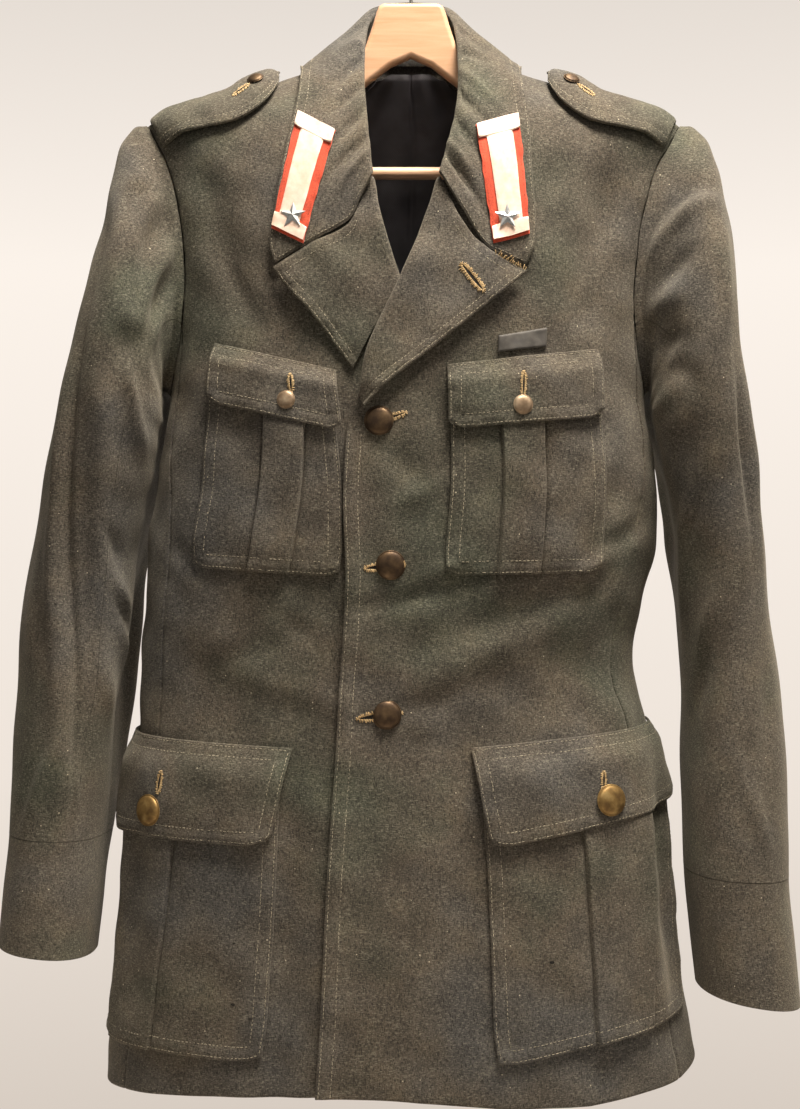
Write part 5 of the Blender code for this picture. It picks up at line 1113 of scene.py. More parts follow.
POCKETS = {
    "chest_left": (
        ((0.0318, -0.3700), (0.1470, -0.3580), (0.1562, -0.5150), (0.0325, -0.5175)),
        ((0.0292, -0.3602), (0.1471, -0.3454), (0.1484, -0.3985), (0.0300, -0.4090)),
        ((0.0690, 0.1008), (0.0738, 0.1056)),
        0.0013,
    ),
    "chest_right": (
        ((-0.0560, -0.3790), (-0.1512, -0.3550), (-0.1626, -0.5110), (-0.0420, -0.5185)),
        ((-0.0535, -0.3640), (-0.1508, -0.3406), (-0.1520, -0.3870), (-0.0480, -0.4105)),
        ((-0.0748, -0.1055), (-0.0824, -0.1138)),
        0.0013,
    ),
    "lower_left": (
        ((0.0640, -0.6600), (0.2400, -0.6440), (0.2440, -0.8500), (0.0690, -0.8805)),
        ((0.0578, -0.6456), (0.2420, -0.6300), (0.2510, -0.6880), (0.0685, -0.7205)),
        ((0.1370, 0.2000), (0.1470, 0.1930)),
        0.0019,
    ),
    "lower_right": (
        ((-0.0850, -0.6600), (-0.2640, -0.6520), (-0.2850, -0.8720), (-0.1010, -0.8775)),
        ((-0.0757, -0.6458), (-0.2600, -0.6370), (-0.2790, -0.7130), (-0.0945, -0.7185)),
        ((-0.1620, -0.2140), (-0.1935, -0.2400)),
        0.0019,
    ),
}
PLEAT_RISE, FLAP_SEAT, ROUNDED = 0.0017, 0.0005, 0.007
FLAP_RISE = PLEAT_RISE + 0.0018 + WOOL
POCKET_ROWS, FLAP_ROWS = (0.0020, 0.0105), (0.0020, 0.0100)
BAG_FACES, FLAP_FACES = {}, {}


def on_front(u, z, out, top_front):
    """Point and normal on the fronts or side bodies, u round from the middle and at level z."""
    f = quarters(u, z)
    lift = front_lift(f, z) if top_front else 0.0
    return cloth(f, z, out + lift), normal_at(f, z)


def between(corners, a, b):
    """Place in a four-sided outline, at share a across and b down."""
    columns = zip(*corners)
    return [(p * (1 - a) + q * a) * (1 - b) + (s * (1 - a) + r * a) * b for p, q, r, s in columns]


def pocket_place(corners, a, b):
    """The same, with the lower corners drawn in."""
    u, z = between(corners, a, b)
    corner = ease((b - 0.86) / 0.14) * (ease((0.10 - a) / 0.10) + ease((a - 0.90) / 0.10))
    side = np.where(a < 0.5, 1.0, -1.0) * np.sign(corners[2][0] - corners[3][0])
    return u + side * corner * ROUNDED * 0.3, z + corner * ROUNDED * 0.5


for name, (bag_at, flap_at, (pleat_top, pleat_low), under) in POCKETS.items():
    left, bag = name.endswith("left"), under + WOOL
    tall = bag_at[0][1] - bag_at[3][1]
    b = shares(tall, 34 if tall > 0.18 else 26, FINE[:4])[:, None]
    tops, lows = (bag_at[0][0], bag_at[1][0], *pleat_top), (bag_at[3][0], bag_at[2][0], *pleat_low)
    inner_u, outer_u, first, second = (top * (1 - b) + low * b for top, low in zip(tops, lows))
    wide = np.abs(outer_u - inner_u)
    first, second = (first - inner_u) / (outer_u - inner_u), (second - inner_u) / (outer_u - inner_u)
    fold = np.array((-0.0030, -0.0016, -0.0008, -0.0003, 0.0003, 0.0008, 0.0016, 0.0030, 0.0048)) / wide
    even = np.linspace(0, 1, 12)[None, 1:-1]
    a = np.concatenate(
        [
            FINE[None] / wide,
            (FINE[-1] / wide) * (1 - even) + (first - 0.0030 / wide) * even,
            first + fold,
            (first + 0.0048 / wide) * (1 - even) + (second - 0.0048 / wide) * even,
            second - fold[:, ::-1],
            (second + 0.0030 / wide) * (1 - even) + (1 - FINE[-1] / wide) * even,
            1 - FINE[None, ::-1] / wide,
        ],
        axis=1,
    )
    u, z = pocket_place(bag_at, a, b)
    rise = 0.0010 / wide
    on_pleat = ease((a - first + rise / 2) / rise) * ease((second + rise / 2 - a) / rise)
    height = bag + (PLEAT_RISE + 0.0015 * ease((b - 0.06) / 0.14)) * on_pleat
    base, off = on_front(u, z, height, left)
    gaps = borders(base)
    away = np.minimum(np.abs(a - first), np.abs(a - second)) * wide
    relief = np.maximum(turned(gaps, POCKET_ROWS, (2, 3.0), (3, 4.0), (1, 5.0)), -0.0012)
    relief = relief - 0.0020 * np.exp(-((away / 0.0017) ** 2)) * (1 - on_pleat)
    slack = np.sin(gaps[2] / 0.019 + 3 * b) * np.sin(math.pi * b) ** 2 * np.sin(math.pi * np.clip(a, 0, 1))
    face = base + off * (relief + 0.0006 * slack)[..., None]
    BAG_FACES[name] = face
    flat = (float(np.mean(wide)) + 0.02, tall + 0.015)
    back_face = on_front(u, z, under, left)[0]
    sew_wool(f"{name}_bag", f"{name}_pocket", face, back_face, flat, held="laid")
    for d in POCKET_ROWS:
        stitch(face, gaps, d, (2, 1), (3, 1), (1, 2, 3))

    tall, wide = flap_at[0][1] - flap_at[3][1], abs(flap_at[1][0] - flap_at[0][0])
    a, b = np.broadcast_arrays(shares(wide, 30)[None], shares(tall, 9)[:, None])
    u, z = pocket_place(flap_at, a, b)
    height = bag - FLAP_SEAT + ease(b / 0.34) * (FLAP_RISE + FLAP_SEAT)
    base, off = on_front(u, z, height, left)
    gaps = borders(base)
    relief = turned(gaps, FLAP_ROWS, (1, 7.0), (2, 8.0), (3, 9.0))
    relief = relief + turned(gaps, (0.0022, 0.0100), (0, 6.0))
    face = base + off * np.maximum(relief, -0.0012)[..., None]
    FLAP_FACES[name] = face
    flat = (wide + 0.005, tall + 0.010)
    sew_wool(f"{name}_flap_cloth", f"{name}_flap", face, base - off * WOOL, flat, held="laid")
    for d in FLAP_ROWS:
        stitch(face, gaps, d, (2, 1, 0), (3, 1, 0), (1, 2, 3), (0, 2, 3))


# ---- Shoulder straps ---------------------------------------------------------------------------
# Turned straps of two layers, caught in the sleeve seam, arched over the shoulder and held by a
# small button near the pointed tip. Stitched round at the edge and 7.5 mm in.

STRAP = (
    # back edge and front edge at each station, from the sleeve seam to the tip
    ((0.2085, 0.003, -0.1592), (0.1950, -0.0250, -0.1848)),
    ((0.1870, 0.004, -0.1460), (0.1780, -0.0380, -0.1755)),
    ((0.1650, 0.003, -0.1390), (0.1620, -0.0420, -0.1725)),
    ((0.1480, 0.002, -0.1335), (0.1400, -0.0460, -0.1690)),
    ((0.1300, 0.000, -0.1225), (0.1230, -0.0440, -0.1600)),
    ((0.1140, -0.004, -0.1190), (0.1100, -0.0340, -0.1450)),
    ((0.1050, -0.010, -0.1215), (0.1050, -0.0190, -0.1310)),
)
STRAP_CROWN = ((0.0, 0.0102), (0.4, 0.0110), (1.2, 0.0085), (3.0, 0.0085), (5.0, 0.0060), (6.0, 0.0015))
STRAP_SHIFT, STRAP_UP = 0.0018, (0.25, -0.58, 0.78)
STRAP_BUTTON = (4.35, 0.50, 0.0066)  # station, share across, radius
STRAP_ROWS = (0.0022, 0.0075)


def strap_middle(t, c, sign):
    """Middle of the strap's cloth: station t, share c from its back edge to its front one."""
    back_edge, front_edge = (through(t, np.arange(7), [row[k] for row in STRAP]) for k in (0, 1))
    share = c[..., None]
    rise = (along(STRAP_CROWN, t) * 4 * c * (1 - c))[..., None]
    point = back_edge * (1 - share) + front_edge * share + rise * np.array(STRAP_UP)
    point[..., 0] = point[..., 0] * sign + STRAP_SHIFT
    return point


def strap_frame(t, c, sign):
    """Middle of the strap's cloth and its normal, upwards."""
    t, c = np.broadcast_arrays(np.asarray(t, float), np.asarray(c, float))
    normal = normal_of(lambda a, b: strap_middle(a, b, sign), t, c, (0.1, 0, 6), (0.05, 0, 1))
    return strap_middle(t, c, sign), normal * sign


for side, sign in (("left", 1), ("right", -1)):
    t, c = 6 * shares(0.11, 48)[:, None], shares(0.044, 16)[None]
    base, off = strap_frame(t, c, sign)
    gaps = borders(base)
    relief = seamed(gaps, (0, 2.0 + sign)) + turned(gaps, STRAP_ROWS[:1], (1, 3.0))
    relief = relief + turned(gaps, STRAP_ROWS, (2, 4.0 + sign), (3, 5.0 + sign))
    relief = np.maximum(relief, -0.0012) - 0.0006 * np.exp(-(((t - 2.2) / 0.5) ** 2)) * np.sin(9 * c + sign)
    face, node = base + off * (TWO_PLY / 2 + relief)[..., None], f"shoulder_strap_{side}"
    how = {"held": "folded", "area": 0.0063}
    sew_wool(f"strap_{side}_cloth", node, face, base - off * TWO_PLY / 2, (0.125, 0.055), **how)
    for d in STRAP_ROWS:
        stitch(face[:-2], gaps[:, :-2], d, (2, 1, 3), (3, 1, 2))
    stitch(face, gaps, STRAP_ROWS[0], (1, 2, 3))


# ---- Topstitching ------------------------------------------------------------------------------
# Khaki sewing thread, about 0.5 mm thick, eight stitches to 25 mm, drawn into the cloth along
# every turned edge. Each stitch is a small lying capsule between its two needle holes.

STITCH_PITCH, STITCH_LONG, STITCH_THICK, STITCH_STRAY = 0.0031, 0.0021, 0.00047, 0.00010
ROD = ((0.0, 0.35), (0.12, 0.92), (0.5, 1.0), (0.88, 0.92), (1.0, 0.35))  # share along, radius


def finish(t, shader, value, stops, raised, strength, deep, **values):
    """Colours a shader along one value and raises it by another."""
    fill(t, shader, Base_Color=ramp(t, value, *stops), Normal=bump(t, raised, strength, deep), **values)


def yarn(name, colour, dark):
    """Spun thread: matt, mottled light and dark by its twist and its wear."""
    made, t, shader, place = material(name)
    twist = noise(t, place, 900.0, 2.0, 0.6)
    mixed = calc(t, "MULTIPLY_ADD", noise(t, place, 60.0, 3.0), 0.8, twist)
    finish(t, shader, mixed, ((0.65, dark), (1.15, colour)), twist, 0.5, 0.0003, Roughness=0.85)
    return made


def capsules(name, ends, thick, look, slot):
    """One mesh of small rods with rounded ends, each from one point to another."""
    start, stop = np.moveaxis(np.asarray(ends, float), 1, 0)
    axis = unit(stop - start)
    u = unit(np.cross(axis, np.where(np.abs(axis[:, 1:2]) < 0.9, [[0.0, 1.0, 0.0]], [[1.0, 0.0, 0.0]])))
    v, turn = np.cross(axis, u), (np.arange(6) * math.pi / 3)[None, :, None]
    round_it = np.cos(turn) * u[:, None] + np.sin(turn) * v[:, None]
    rings = [(start + (stop - start) * share)[:, None] + thick / 2 * size * round_it for share, size in ROD]
    firsts = 30 * np.arange(len(start))
    i, k, j = np.meshgrid(firsts, np.arange(4), np.arange(6), indexing="ij")
    here, after = i + k * 6 + j, i + k * 6 + (j + 1) % 6
    faces = np.stack([here, after, after + 6, here + 6], -1).reshape(-1, 4).tolist()
    faces += (firsts[:, None] + np.arange(5, -1, -1)).tolist()
    faces += (firsts[:, None] + np.arange(24, 30)).tolist()
    return sew(smooth_piece(name, np.stack(rings, axis=1).reshape(-1, 3), faces), None, look, slot)


def along_row(points, pitch, long, jitter, random):
    """Ends of the stitches in one row of points, a few of them missing."""
    run = np.append(0, np.cumsum(np.linalg.norm(np.diff(points, axis=0), axis=1)))
    found = []
    place = pitch / 2
    while place + long < run[-1]:
        size = long * (1 + random.uniform(-0.30, 0.15))
        ends = np.array([[np.interp(place + d, run, points[:, k]) for k in range(3)] for d in (0, size)])
        if random.random() > 0.07:
            found.append(ends + random.normal(0, jitter, (2, 3)))
        place += pitch * (1 + random.uniform(-0.06, 0.06))
    return found


khaki_yarn = yarn("khaki_sewing_thread", "#b2aa93", "#6a6556")
random = np.random.default_rng(7)
size = (STITCH_PITCH, STITCH_LONG, STITCH_STRAY)
ends = [pair for row in STITCHED if len(row) > 4 for pair in along_row(row, *size, random)]
middle = len(ends) // 2
for number, share in ((1, ends[:middle]), (2, ends[middle:])):
    capsules(f"topstitching_{number}", share, STITCH_THICK, khaki_yarn, "grey_green_wool")


# ---- Buttonholes and loose threads -------------------------------------------------------------
# Slits worked round with ochre twist, now frayed: three down the front edge, one on the lapel, one
# in each flap and strap. The gorge's end has pulled threads, and the lower pockets a few holes.

ochre_yarn = yarn("ochre_buttonhole_twist", "#cbb184", "#84693f")
# Near-black painted shade for the dark openings of the slits and holes, laid as thin lenses just off the
# cloth.
painted_slit_shade, t, shader, place = material("painted_slit_shadow")
tone = ramp(t, noise(t, place, 700.0, 2.0), (0.4, "#0f0e0c"), (0.7, "#2a2620"))
fill(t, shader, Base_Color=tone, Roughness=1.0)
TWIST_ENDS, SLIT_POINTS = [], []
TWIST_THICK, TWIST_PITCH, LENS_STEPS = 0.00072, 0.00062, 13


def seat(face, x, z):
    """Point of a face seen at (x, z) from the front and the face's normal there, to the front."""
    flat = (face[1:-1, 1:-1, 0] - x) ** 2 + (face[1:-1, 1:-1, 2] - z) ** 2
    i, j = np.unravel_index(np.argmin(flat), flat.shape)
    i, j = i + 1, j + 1
    normal = unit(np.cross(face[i + 1, j] - face[i - 1, j], face[i, j + 1] - face[i, j - 1]))
    if normal[1] > 0:
        normal = -normal
    here = face[i, j]
    y = here[1] - (normal[0] * (x - here[0]) + normal[2] * (z - here[2])) / normal[1]
    return np.array((x, y, z)), normal


def on_face(face):
    return lambda x, z: seat(face, x, z)


def on_top_front(x, z):
    """Point and normal of the top front seen at (x, z)."""
    f = quarters_of_x(x, z)
    return cloth(f, z, front_lift(f, z)), normal_at(f, z)


def on_strap(sign):
    """Places on a strap, given as its station and share, scaled to metres, in place of x and z."""

    def spot(t, c):
        point, normal = strap_frame(np.array(t * 50), np.array(c * 22), sign)
        return point + normal * (TWO_PLY / 2), normal

    return spot


def lifted(spot, at, lift):
    point, normal = spot(*at)
    return point + normal * lift


def worked_hole(spot, start, stop, spread, wild, seed, gap=0.0008):
    """Worked slit between two places: stitches over its lips and ends, and between them a lens of painted
    shade for the dark opening.
    """
    random = np.random.default_rng(seed)
    start, stop = np.array(start), np.array(stop)
    length = np.linalg.norm(stop - start)
    way = (stop - start) / length
    side = np.array((-way[1], way[0]))
    for share in np.linspace(0, 1, LENS_STEPS):
        half_gap = gap * math.sin(math.pi * share) ** 0.6 + 0.0001
        for lip in (-1, 1):
            at = start + way * length * share + side * lip * half_gap
            SLIT_POINTS.append(lifted(spot, at, 0.00035))
    count = int(length / TWIST_PITCH)
    for lip in (-1, 1):
        for share in (np.arange(count) + 0.5) / count:
            middle, open_here = start + way * length * share, gap * math.sin(math.pi * share) ** 0.6
            lean = random.normal(0, wild)
            reach = spread * (1 + random.normal(0, 0.18))
            loose = abs(random.normal(0, 0.0002)) * (wild > 0.3)
            inner = middle + side * lip * (open_here - 0.0001)
            outer = middle + side * lip * (open_here + reach) + way * lean * reach
            TWIST_ENDS.append([lifted(spot, inner, 0.00045), lifted(spot, outer, 0.00012 + loose)])
    for end, out in ((start, -1), (stop, 1)):
        for lean in (-0.7, 0.0, 0.7):
            ray = out * (way * math.cos(lean) + side * math.sin(lean))
            pair = ((0.0002, 0.0005), (spread, 0.0002))
            TWIST_ENDS.append([lifted(spot, end + reach * ray, lift) for reach, lift in pair])


for hole in (  # face, start, stop, reach of the stitches, how much they lean, seed, half gap
    (on_top_front, (-0.0265, -0.4035), (-0.0050, -0.3965), 0.0021, 0.45, 11),
    (on_top_front, (-0.0338, -0.5118), (-0.0060, -0.5090), 0.0021, 0.45, 12, 0.0017),
    (on_top_front, (-0.0396, -0.6238), (-0.0080, -0.6195), 0.0021, 0.45, 13, 0.0017),
    (on_face(LAPEL_FACES[1]), (0.0378, -0.2861), (0.0527, -0.3049), 0.0026, 0.32, 14, 0.0012),
    (on_face(FLAP_FACES["chest_left"]), (0.0835, -0.3660), (0.0830, -0.3830), 0.0017, 0.30, 20),
    (on_face(FLAP_FACES["chest_right"]), (-0.0905, -0.3680), (-0.0895, -0.3800), 0.0017, 0.30, 21),
    (on_face(FLAP_FACES["lower_left"]), (0.1440, -0.6650), (0.1438, -0.6760), 0.0017, 0.30, 22),
    (on_face(FLAP_FACES["lower_right"]), (-0.1890, -0.6660), (-0.1915, -0.6810), 0.0017, 0.30, 23),
):
    worked_hole(*hole)
# Small holes in the lower pockets, drawn only as lenses of painted shade.
for name, x, z, size in (
    ("lower_right", -0.1317, -0.7900, 0.0012),
    ("lower_right", -0.1324, -0.8350, 0.0017),
    ("lower_right", -0.1197, -0.8447, 0.0014),
    ("lower_left", 0.1038, -0.8035, 0.0019),
):
    for turn in np.linspace(0, math.pi, LENS_STEPS):
        for side in (-1, 1):
            at = (x - size * math.cos(turn), z + side * size * 0.55 * math.sin(turn))
            SLIT_POINTS.append(lifted(on_face(BAG_FACES[name]), at, 0.0003))
random = np.random.default_rng(41)
for share in np.append(np.linspace(0.10, 0.95, 16), (0.30, 0.62, 0.90)):
    point, normal = seat(LAPEL_FACES[1], 0.0600 + 0.0260 * share, -0.2768 - 0.0130 * share)
    way = np.array((random.normal(0.4, 0.5), 0.0, 1.0)) * random.uniform(0.0018, 0.0042)
    middle = point + normal * 0.0012 + way * 0.5
    TWIST_ENDS.append([point + normal * 0.0004, middle])
    TWIST_ENDS.append([middle, middle + way * 0.4 + normal * random.normal(0.0, 0.0006)])
for sign in (1, -1):
    worked_hole(on_strap(sign), (3.35 / 50, 0.62 / 22), (4.0 / 50, 0.58 / 22), 0.0018, 0.35, 30 + sign)
capsules("buttonhole_twist", TWIST_ENDS, TWIST_THICK, ochre_yarn, "grey_green_wool")
# All the lenses of painted shade, in one mesh.
mesh = bpy.data.meshes.new("slits")
lens_ends = np.arange(0, len(SLIT_POINTS), 2 * LENS_STEPS)
corners = (lens_ends[:, None] + 2 * np.arange(LENS_STEPS - 1)).reshape(-1, 1) + np.array((0, 1, 3, 2))
mesh.from_pydata(np.array(SLIT_POINTS).tolist(), [], corners.tolist())
sew(put("slits", mesh), None, painted_slit_shade, "dark_lining")


# ---- Buttons -----------------------------------------------------------------------------------
# Stamped brass buttons, plain domes with a rolled rim, browned and worn back to metal on the
# crown. The shank behind is sewn through the cloth and hidden.


def rubbed(t, value, first, last):
    """Roughness from first to last where a noise goes from low to high."""
    return add(t, "MapRange", i0=value, i1=0.3, i2=0.7, i3=first, i4=last)


def browned_brass(name, share, *colours):
    """Brass browned in a bath: brown film in clouds, rubbed thin in places, with fine scratches."""
    made, t, shader, place = material(name)
    cloud = noise(t, place, 130.0, 4.0)
    stretch = add(t, "Mapping", Vector=place, Scale=(2600.0, 260.0, 900.0), Rotation=(0.3, 0.5, 0.7))
    dents = calc(t, "MULTIPLY_ADD", noise(t, stretch, 1.0, 3.0), 0.5, cloud)
    values = {"Metallic": 0.75, "Roughness": rubbed(t, cloud, 0.56, 0.44)}
    finish(t, shader, cloud, list(zip((0.38, 0.55, share), colours)), dents, 0.06, 0.0003, **values)
    return made


def turned_form(name, profile, matrix, sides=64):
    """Smooth turned form from (radius, height) pairs, the first and last on the axis."""
    angle = np.linspace(0, 2 * math.pi, sides, endpoint=False)
    rings = [np.stack([r * np.cos(angle), r * np.sin(angle), 0 * angle + h], -1) for r, h in profile[1:-1]]
    points = np.concatenate([[[0, 0, profile[0][1]]], *rings, [[0, 0, profile[-1][1]]]])
    faces = []
    for j in range(sides):
        k = (j + 1) % sides
        faces.append((0, 1 + j, 1 + k))
        for a in range(1, 1 + (len(rings) - 1) * sides, sides):
            faces.append((a + j, a + sides + j, a + sides + k, a + k))
        last = 1 + (len(rings) - 1) * sides
        faces.append((last + j, len(points) - 1, last + k))
    points = points @ np.array(matrix.to_3x3()).T + np.array(matrix.translation)
    return smooth_piece(name, points, faces)


def facing(point, normal):
    """Matrix at a point whose Z is the normal."""
    z = Vector(normal).normalized()
    x = Vector((0.0, 0.0, 1.0)).cross(z).normalized()
    made = Matrix((x, z.cross(x), z)).transposed().to_4x4()
    made.translation = Vector(point)
    return made


dark_brass = browned_brass("browned_brass_dark", 0.78, "#3f3226", "#584734", "#776349")
chest_brass = browned_brass("browned_brass_chest", 0.72, "#83705a", "#a48f76", "#c2b196")
mottled_brass = browned_brass("browned_brass_mottled", 0.70, "#715936", "#937849", "#b09663")
CROWN = [(math.sin(a) * 0.90, 0.115 + 0.285 * math.cos(a)) for a in np.linspace(0.12, math.pi / 2, 13)]
RIM = [(0.915, 0.085), (0.94, 0.098), (0.975, 0.095), (0.998, 0.070), (1.0, 0.045), (0.985, 0.015)]
DOME = [(0.0, 0.40), *CROWN, *RIM, (0.95, 0.0), (0.0, 0.0)]
BUTTON_CLEAR = 0.0003
ON_FLAP = WOOL + FLAP_RISE + BUTTON_CLEAR

spots = []
for node, u, z, out, left, radius, look in (
    ("front_button_1", -0.0213, -0.4020, BUTTON_CLEAR, True, 0.0111, dark_brass),
    ("front_button_2", -0.0067, -0.5094, BUTTON_CLEAR, True, 0.0111, dark_brass),
    ("front_button_3", -0.0028, -0.6207, BUTTON_CLEAR, True, 0.0111, dark_brass),
    ("chest_left_button", 0.0847, -0.3905, POCKETS["chest_left"][3] + ON_FLAP, True, 0.0075, chest_brass),
    ("chest_right_button", -0.0892, -0.3867, POCKETS["chest_right"][3] + ON_FLAP, False, 0.0070, chest_brass),
    ("lower_left_button", 0.1597, -0.6865, POCKETS["lower_left"][3] + ON_FLAP, True, 0.012, mottled_brass),
    ("lower_right_button", -0.1882, -0.6958, POCKETS["lower_right"][3] + ON_FLAP, False, 0.012, mottled_brass),
):
    spots.append((node, *on_front(u, z, out, left), radius, look))
for side, sign in (("left", 1), ("right", -1)):
    point, normal = strap_frame(*STRAP_BUTTON[:2], sign)
    point = point + normal * (TWO_PLY / 2 + BUTTON_CLEAR)
    spots.append((f"strap_button_{side}", point, normal, STRAP_BUTTON[2], dark_brass))
for node, point, normal, radius, look in spots:
    profile = [(r * radius, h * radius) for r, h in DOME]
    sew(turned_form(f"{node}_dome", profile, facing(point, normal)), node, look, "browned_brass")


# ---- Collar patches, strips and stars ----------------------------------------------------------
# Parallelograms of red felt sewn on the collar's points, each with a cream satin strip down its
# middle, folded wide over both ends, and a thin stamped white-metal star over the lower end.

PATCHES = {
    1: ((0.0815, -0.1665), (0.0488, -0.1762), (0.0608, -0.2693), (0.0885, -0.2610)),
    -1: ((-0.0865, -0.1638), (-0.0575, -0.1810), (-0.0812, -0.2688), (-0.1055, -0.2565)),
}
STRIP = np.array(
    (  # place down the patch, first and last place across it
        (0.005, 0.01, 0.99), (0.125, 0.01, 0.99), (0.135, 0.19, 0.80), (0.32, 0.18, 0.79), (0.50, 0.17, 0.78),
        (0.68, 0.17, 0.77), (0.855, 0.16, 0.76), (0.865, 0.01, 0.99), (0.975, 0.01, 0.99),
    )
)
PATCH_CLEAR, PATCH_THICK, STRIP_CLEAR, STRIP_THICK = 0.0007, 0.0011, 0.0005, 0.0007
PATCH_WIDE, PATCH_TALL, PATCH_ROW = 0.033, 0.094, 0.0018
FALL_ROWS, FALL_COLUMNS = 240, 120
fall_s, fall_q = np.linspace(3.0, 8.0, FALL_ROWS + 1), np.linspace(4.0, 8.0, FALL_COLUMNS + 1)
FALLS = {sign: collar(sign * fall_s[:, None], fall_q[None]) for sign in (1, -1)}


def on_collar(x, z, out, sign):
    """Point off the collar's face that is seen at (x, z)."""
    points, found = FALLS[sign][..., [0, 2]], []
    for at in zip(np.ravel(x), np.ravel(z)):
        far = ((points - at) ** 2).sum(-1)
        i, j = np.unravel_index(np.argmin(far), far.shape)
        i, j = min(i, FALL_ROWS - 1), min(j, FALL_COLUMNS - 1)
        ways = np.stack([points[i + 1, j] - points[i, j], points[i, j + 1] - points[i, j]], axis=1)
        a, b = np.linalg.solve(ways, at - points[i, j])
        found.append((3.0 + (i + a) * 5 / FALL_ROWS, 4.0 + (j + b) * 4 / FALL_COLUMNS))
    s, q = np.array(found).T.reshape(2, *np.shape(x))
    base, off = collar_frame(sign * s, q)
    return base + off * (TWO_PLY / 2 + np.asarray(out))[..., None]


def from_edge(a, b, wide, tall):
    """Distance from a panel's nearest edge, at its shares across and down."""
    return np.minimum(np.minimum(a, 1 - a) * wide, np.minimum(b, 1 - b) * tall)


def wave(tree, place, direction, scale, distortion, detail):
    sockets = {"Vector": place, "Scale": scale, "Distortion": distortion, "Detail": detail}
    return add(tree, "TexWave", {"bands_direction": direction}, **sockets).outputs["Fac"]


# Wool felt: short raised fibres with no weave.
red_felt, t, shader, place = material("red_felt")
nap = noise(t, place, 700.0, 5.0, 0.7)
mixed = calc(t, "MULTIPLY_ADD", noise(t, place, 90.0, 3.0), 0.6, nap)
values = {"Roughness": 0.9, "Sheen_Weight": 0.3}
finish(t, shader, mixed, ((0.55, "#a93a20"), (0.95, "#da5230")), nap, 0.5, 0.0005, **values)

# Satin, soiled in clouds, its floats as fine ridges.
cream_satin, t, shader, place = material("cream_satin_ribbon")
floats, soil = wave(t, place, "Z", 900.0, 1.5, 2.0), noise(t, place, 120.0, 5.0, 0.6)
stops = ((0.30, "#e0bfa6"), (0.55, "#f2d7c5"), (0.8, "#f7e4d6"))
finish(t, shader, soil, stops, floats, 0.18, 0.0002, Roughness=0.48, Sheen_Weight=0.25)

# White metal, dulled and pitted by tarnish.
white_metal, t, shader, place = material("stamped_white_metal")
tarnish = noise(t, place, 350.0, 6.0, 0.6)
stops = ((0.32, "#9da1a3"), (0.5, "#d5d8d9"), (0.7, "#eceeee"))
values = {"Metallic": 0.9, "Roughness": rubbed(t, tarnish, 0.45, 0.26)}
finish(t, shader, tarnish, stops, tarnish, 0.10, 0.0003, **values)

PATCH_STITCHED = []
laid = {"held": "laid", "rests_on": ["collar_cloth"]}
for side, sign in (("left", 1), ("right", -1)):
    a, b = np.broadcast_arrays(np.linspace(0, 1, 25)[None], np.linspace(0, 1, 61)[:, None])
    edge = from_edge(a, b, PATCH_WIDE, PATCH_TALL)
    x, z = between(PATCHES[sign], a, b)
    waver = ripple(b * PATCH_TALL, 0.00022, 5.0 + sign) * np.exp(-((edge / 0.003) ** 2))
    dip = 0.0006 * (1 - np.clip(edge / 0.0012, 0, 1)) ** 2
    dip = dip + 0.00025 * np.exp(-(((edge - 0.0022) / 0.0009) ** 2))
    face = on_collar(x + waver, z, PATCH_CLEAR + PATCH_THICK - dip + waver, sign)
    patch = shell(f"patch_{side}_felt", face, on_collar(x + waver, z, PATCH_CLEAR, sign))
    sew(patch, f"collar_patch_{side}", red_felt, "red_cloth", (0.034, 0.097), **laid)
    gaps = borders(face)
    PATCH_STITCHED += [row_of(face, gaps, k, PATCH_ROW, (2, 3) if k < 2 else (0, 1)) for k in range(4)]
    parts = [np.linspace(p, q, 7)[:-1] for p, q in zip(STRIP[:-1, 0], STRIP[1:, 0])]
    b = np.append(np.concatenate(parts), STRIP[-1, 0])[:, None]
    low, high = (np.interp(b, STRIP[:, 0], STRIP[:, k]) for k in (1, 2))
    share = np.linspace(0, 1, 19)[None]
    x, z = between(PATCHES[sign], low * (1 - share) + high * share, b)
    under = PATCH_CLEAR + PATCH_THICK + STRIP_CLEAR
    band = ((b < 0.13) | (b > 0.86)) * 1.0
    out = under + STRIP_THICK + 0.00045 * band + 0.00025 * np.sin(math.pi * share) * (1 - band)
    out = out - 0.00035 * (1 - np.clip(np.minimum(share, 1 - share) / 0.08, 0, 1)) ** 2
    out = out + 0.00014 * np.sin(b * 71 + 5 * share) * np.sin(b * 23 + sign)
    strip = shell(f"strip_{side}_satin", on_collar(x, z, out, sign), on_collar(x, z, under, sign))
    node = f"collar_strip_{side}"
    sew(strip, node, cream_satin, "cream_ribbon", (0.034, 0.094), area=0.0022, **laid)
red_yarn = yarn("red_sewing_thread", "#b8402a", "#6e1d12")
random = np.random.default_rng(17)
size = (0.0027, 0.0017, 0.00008)
ends = [pair for row in PATCH_STITCHED if len(row) > 4 for pair in along_row(row, *size, random)]
capsules("patch_stitching", ends, 0.00042, red_yarn, "red_cloth")


# ---- Ribbon bar and neck lining ----------------------------------------------------------------
# A plain grey corded ribbon sewn over a bar on the left chest. Near-black cotton lining shows
# at the neck, joined by one seam down the middle of the back.

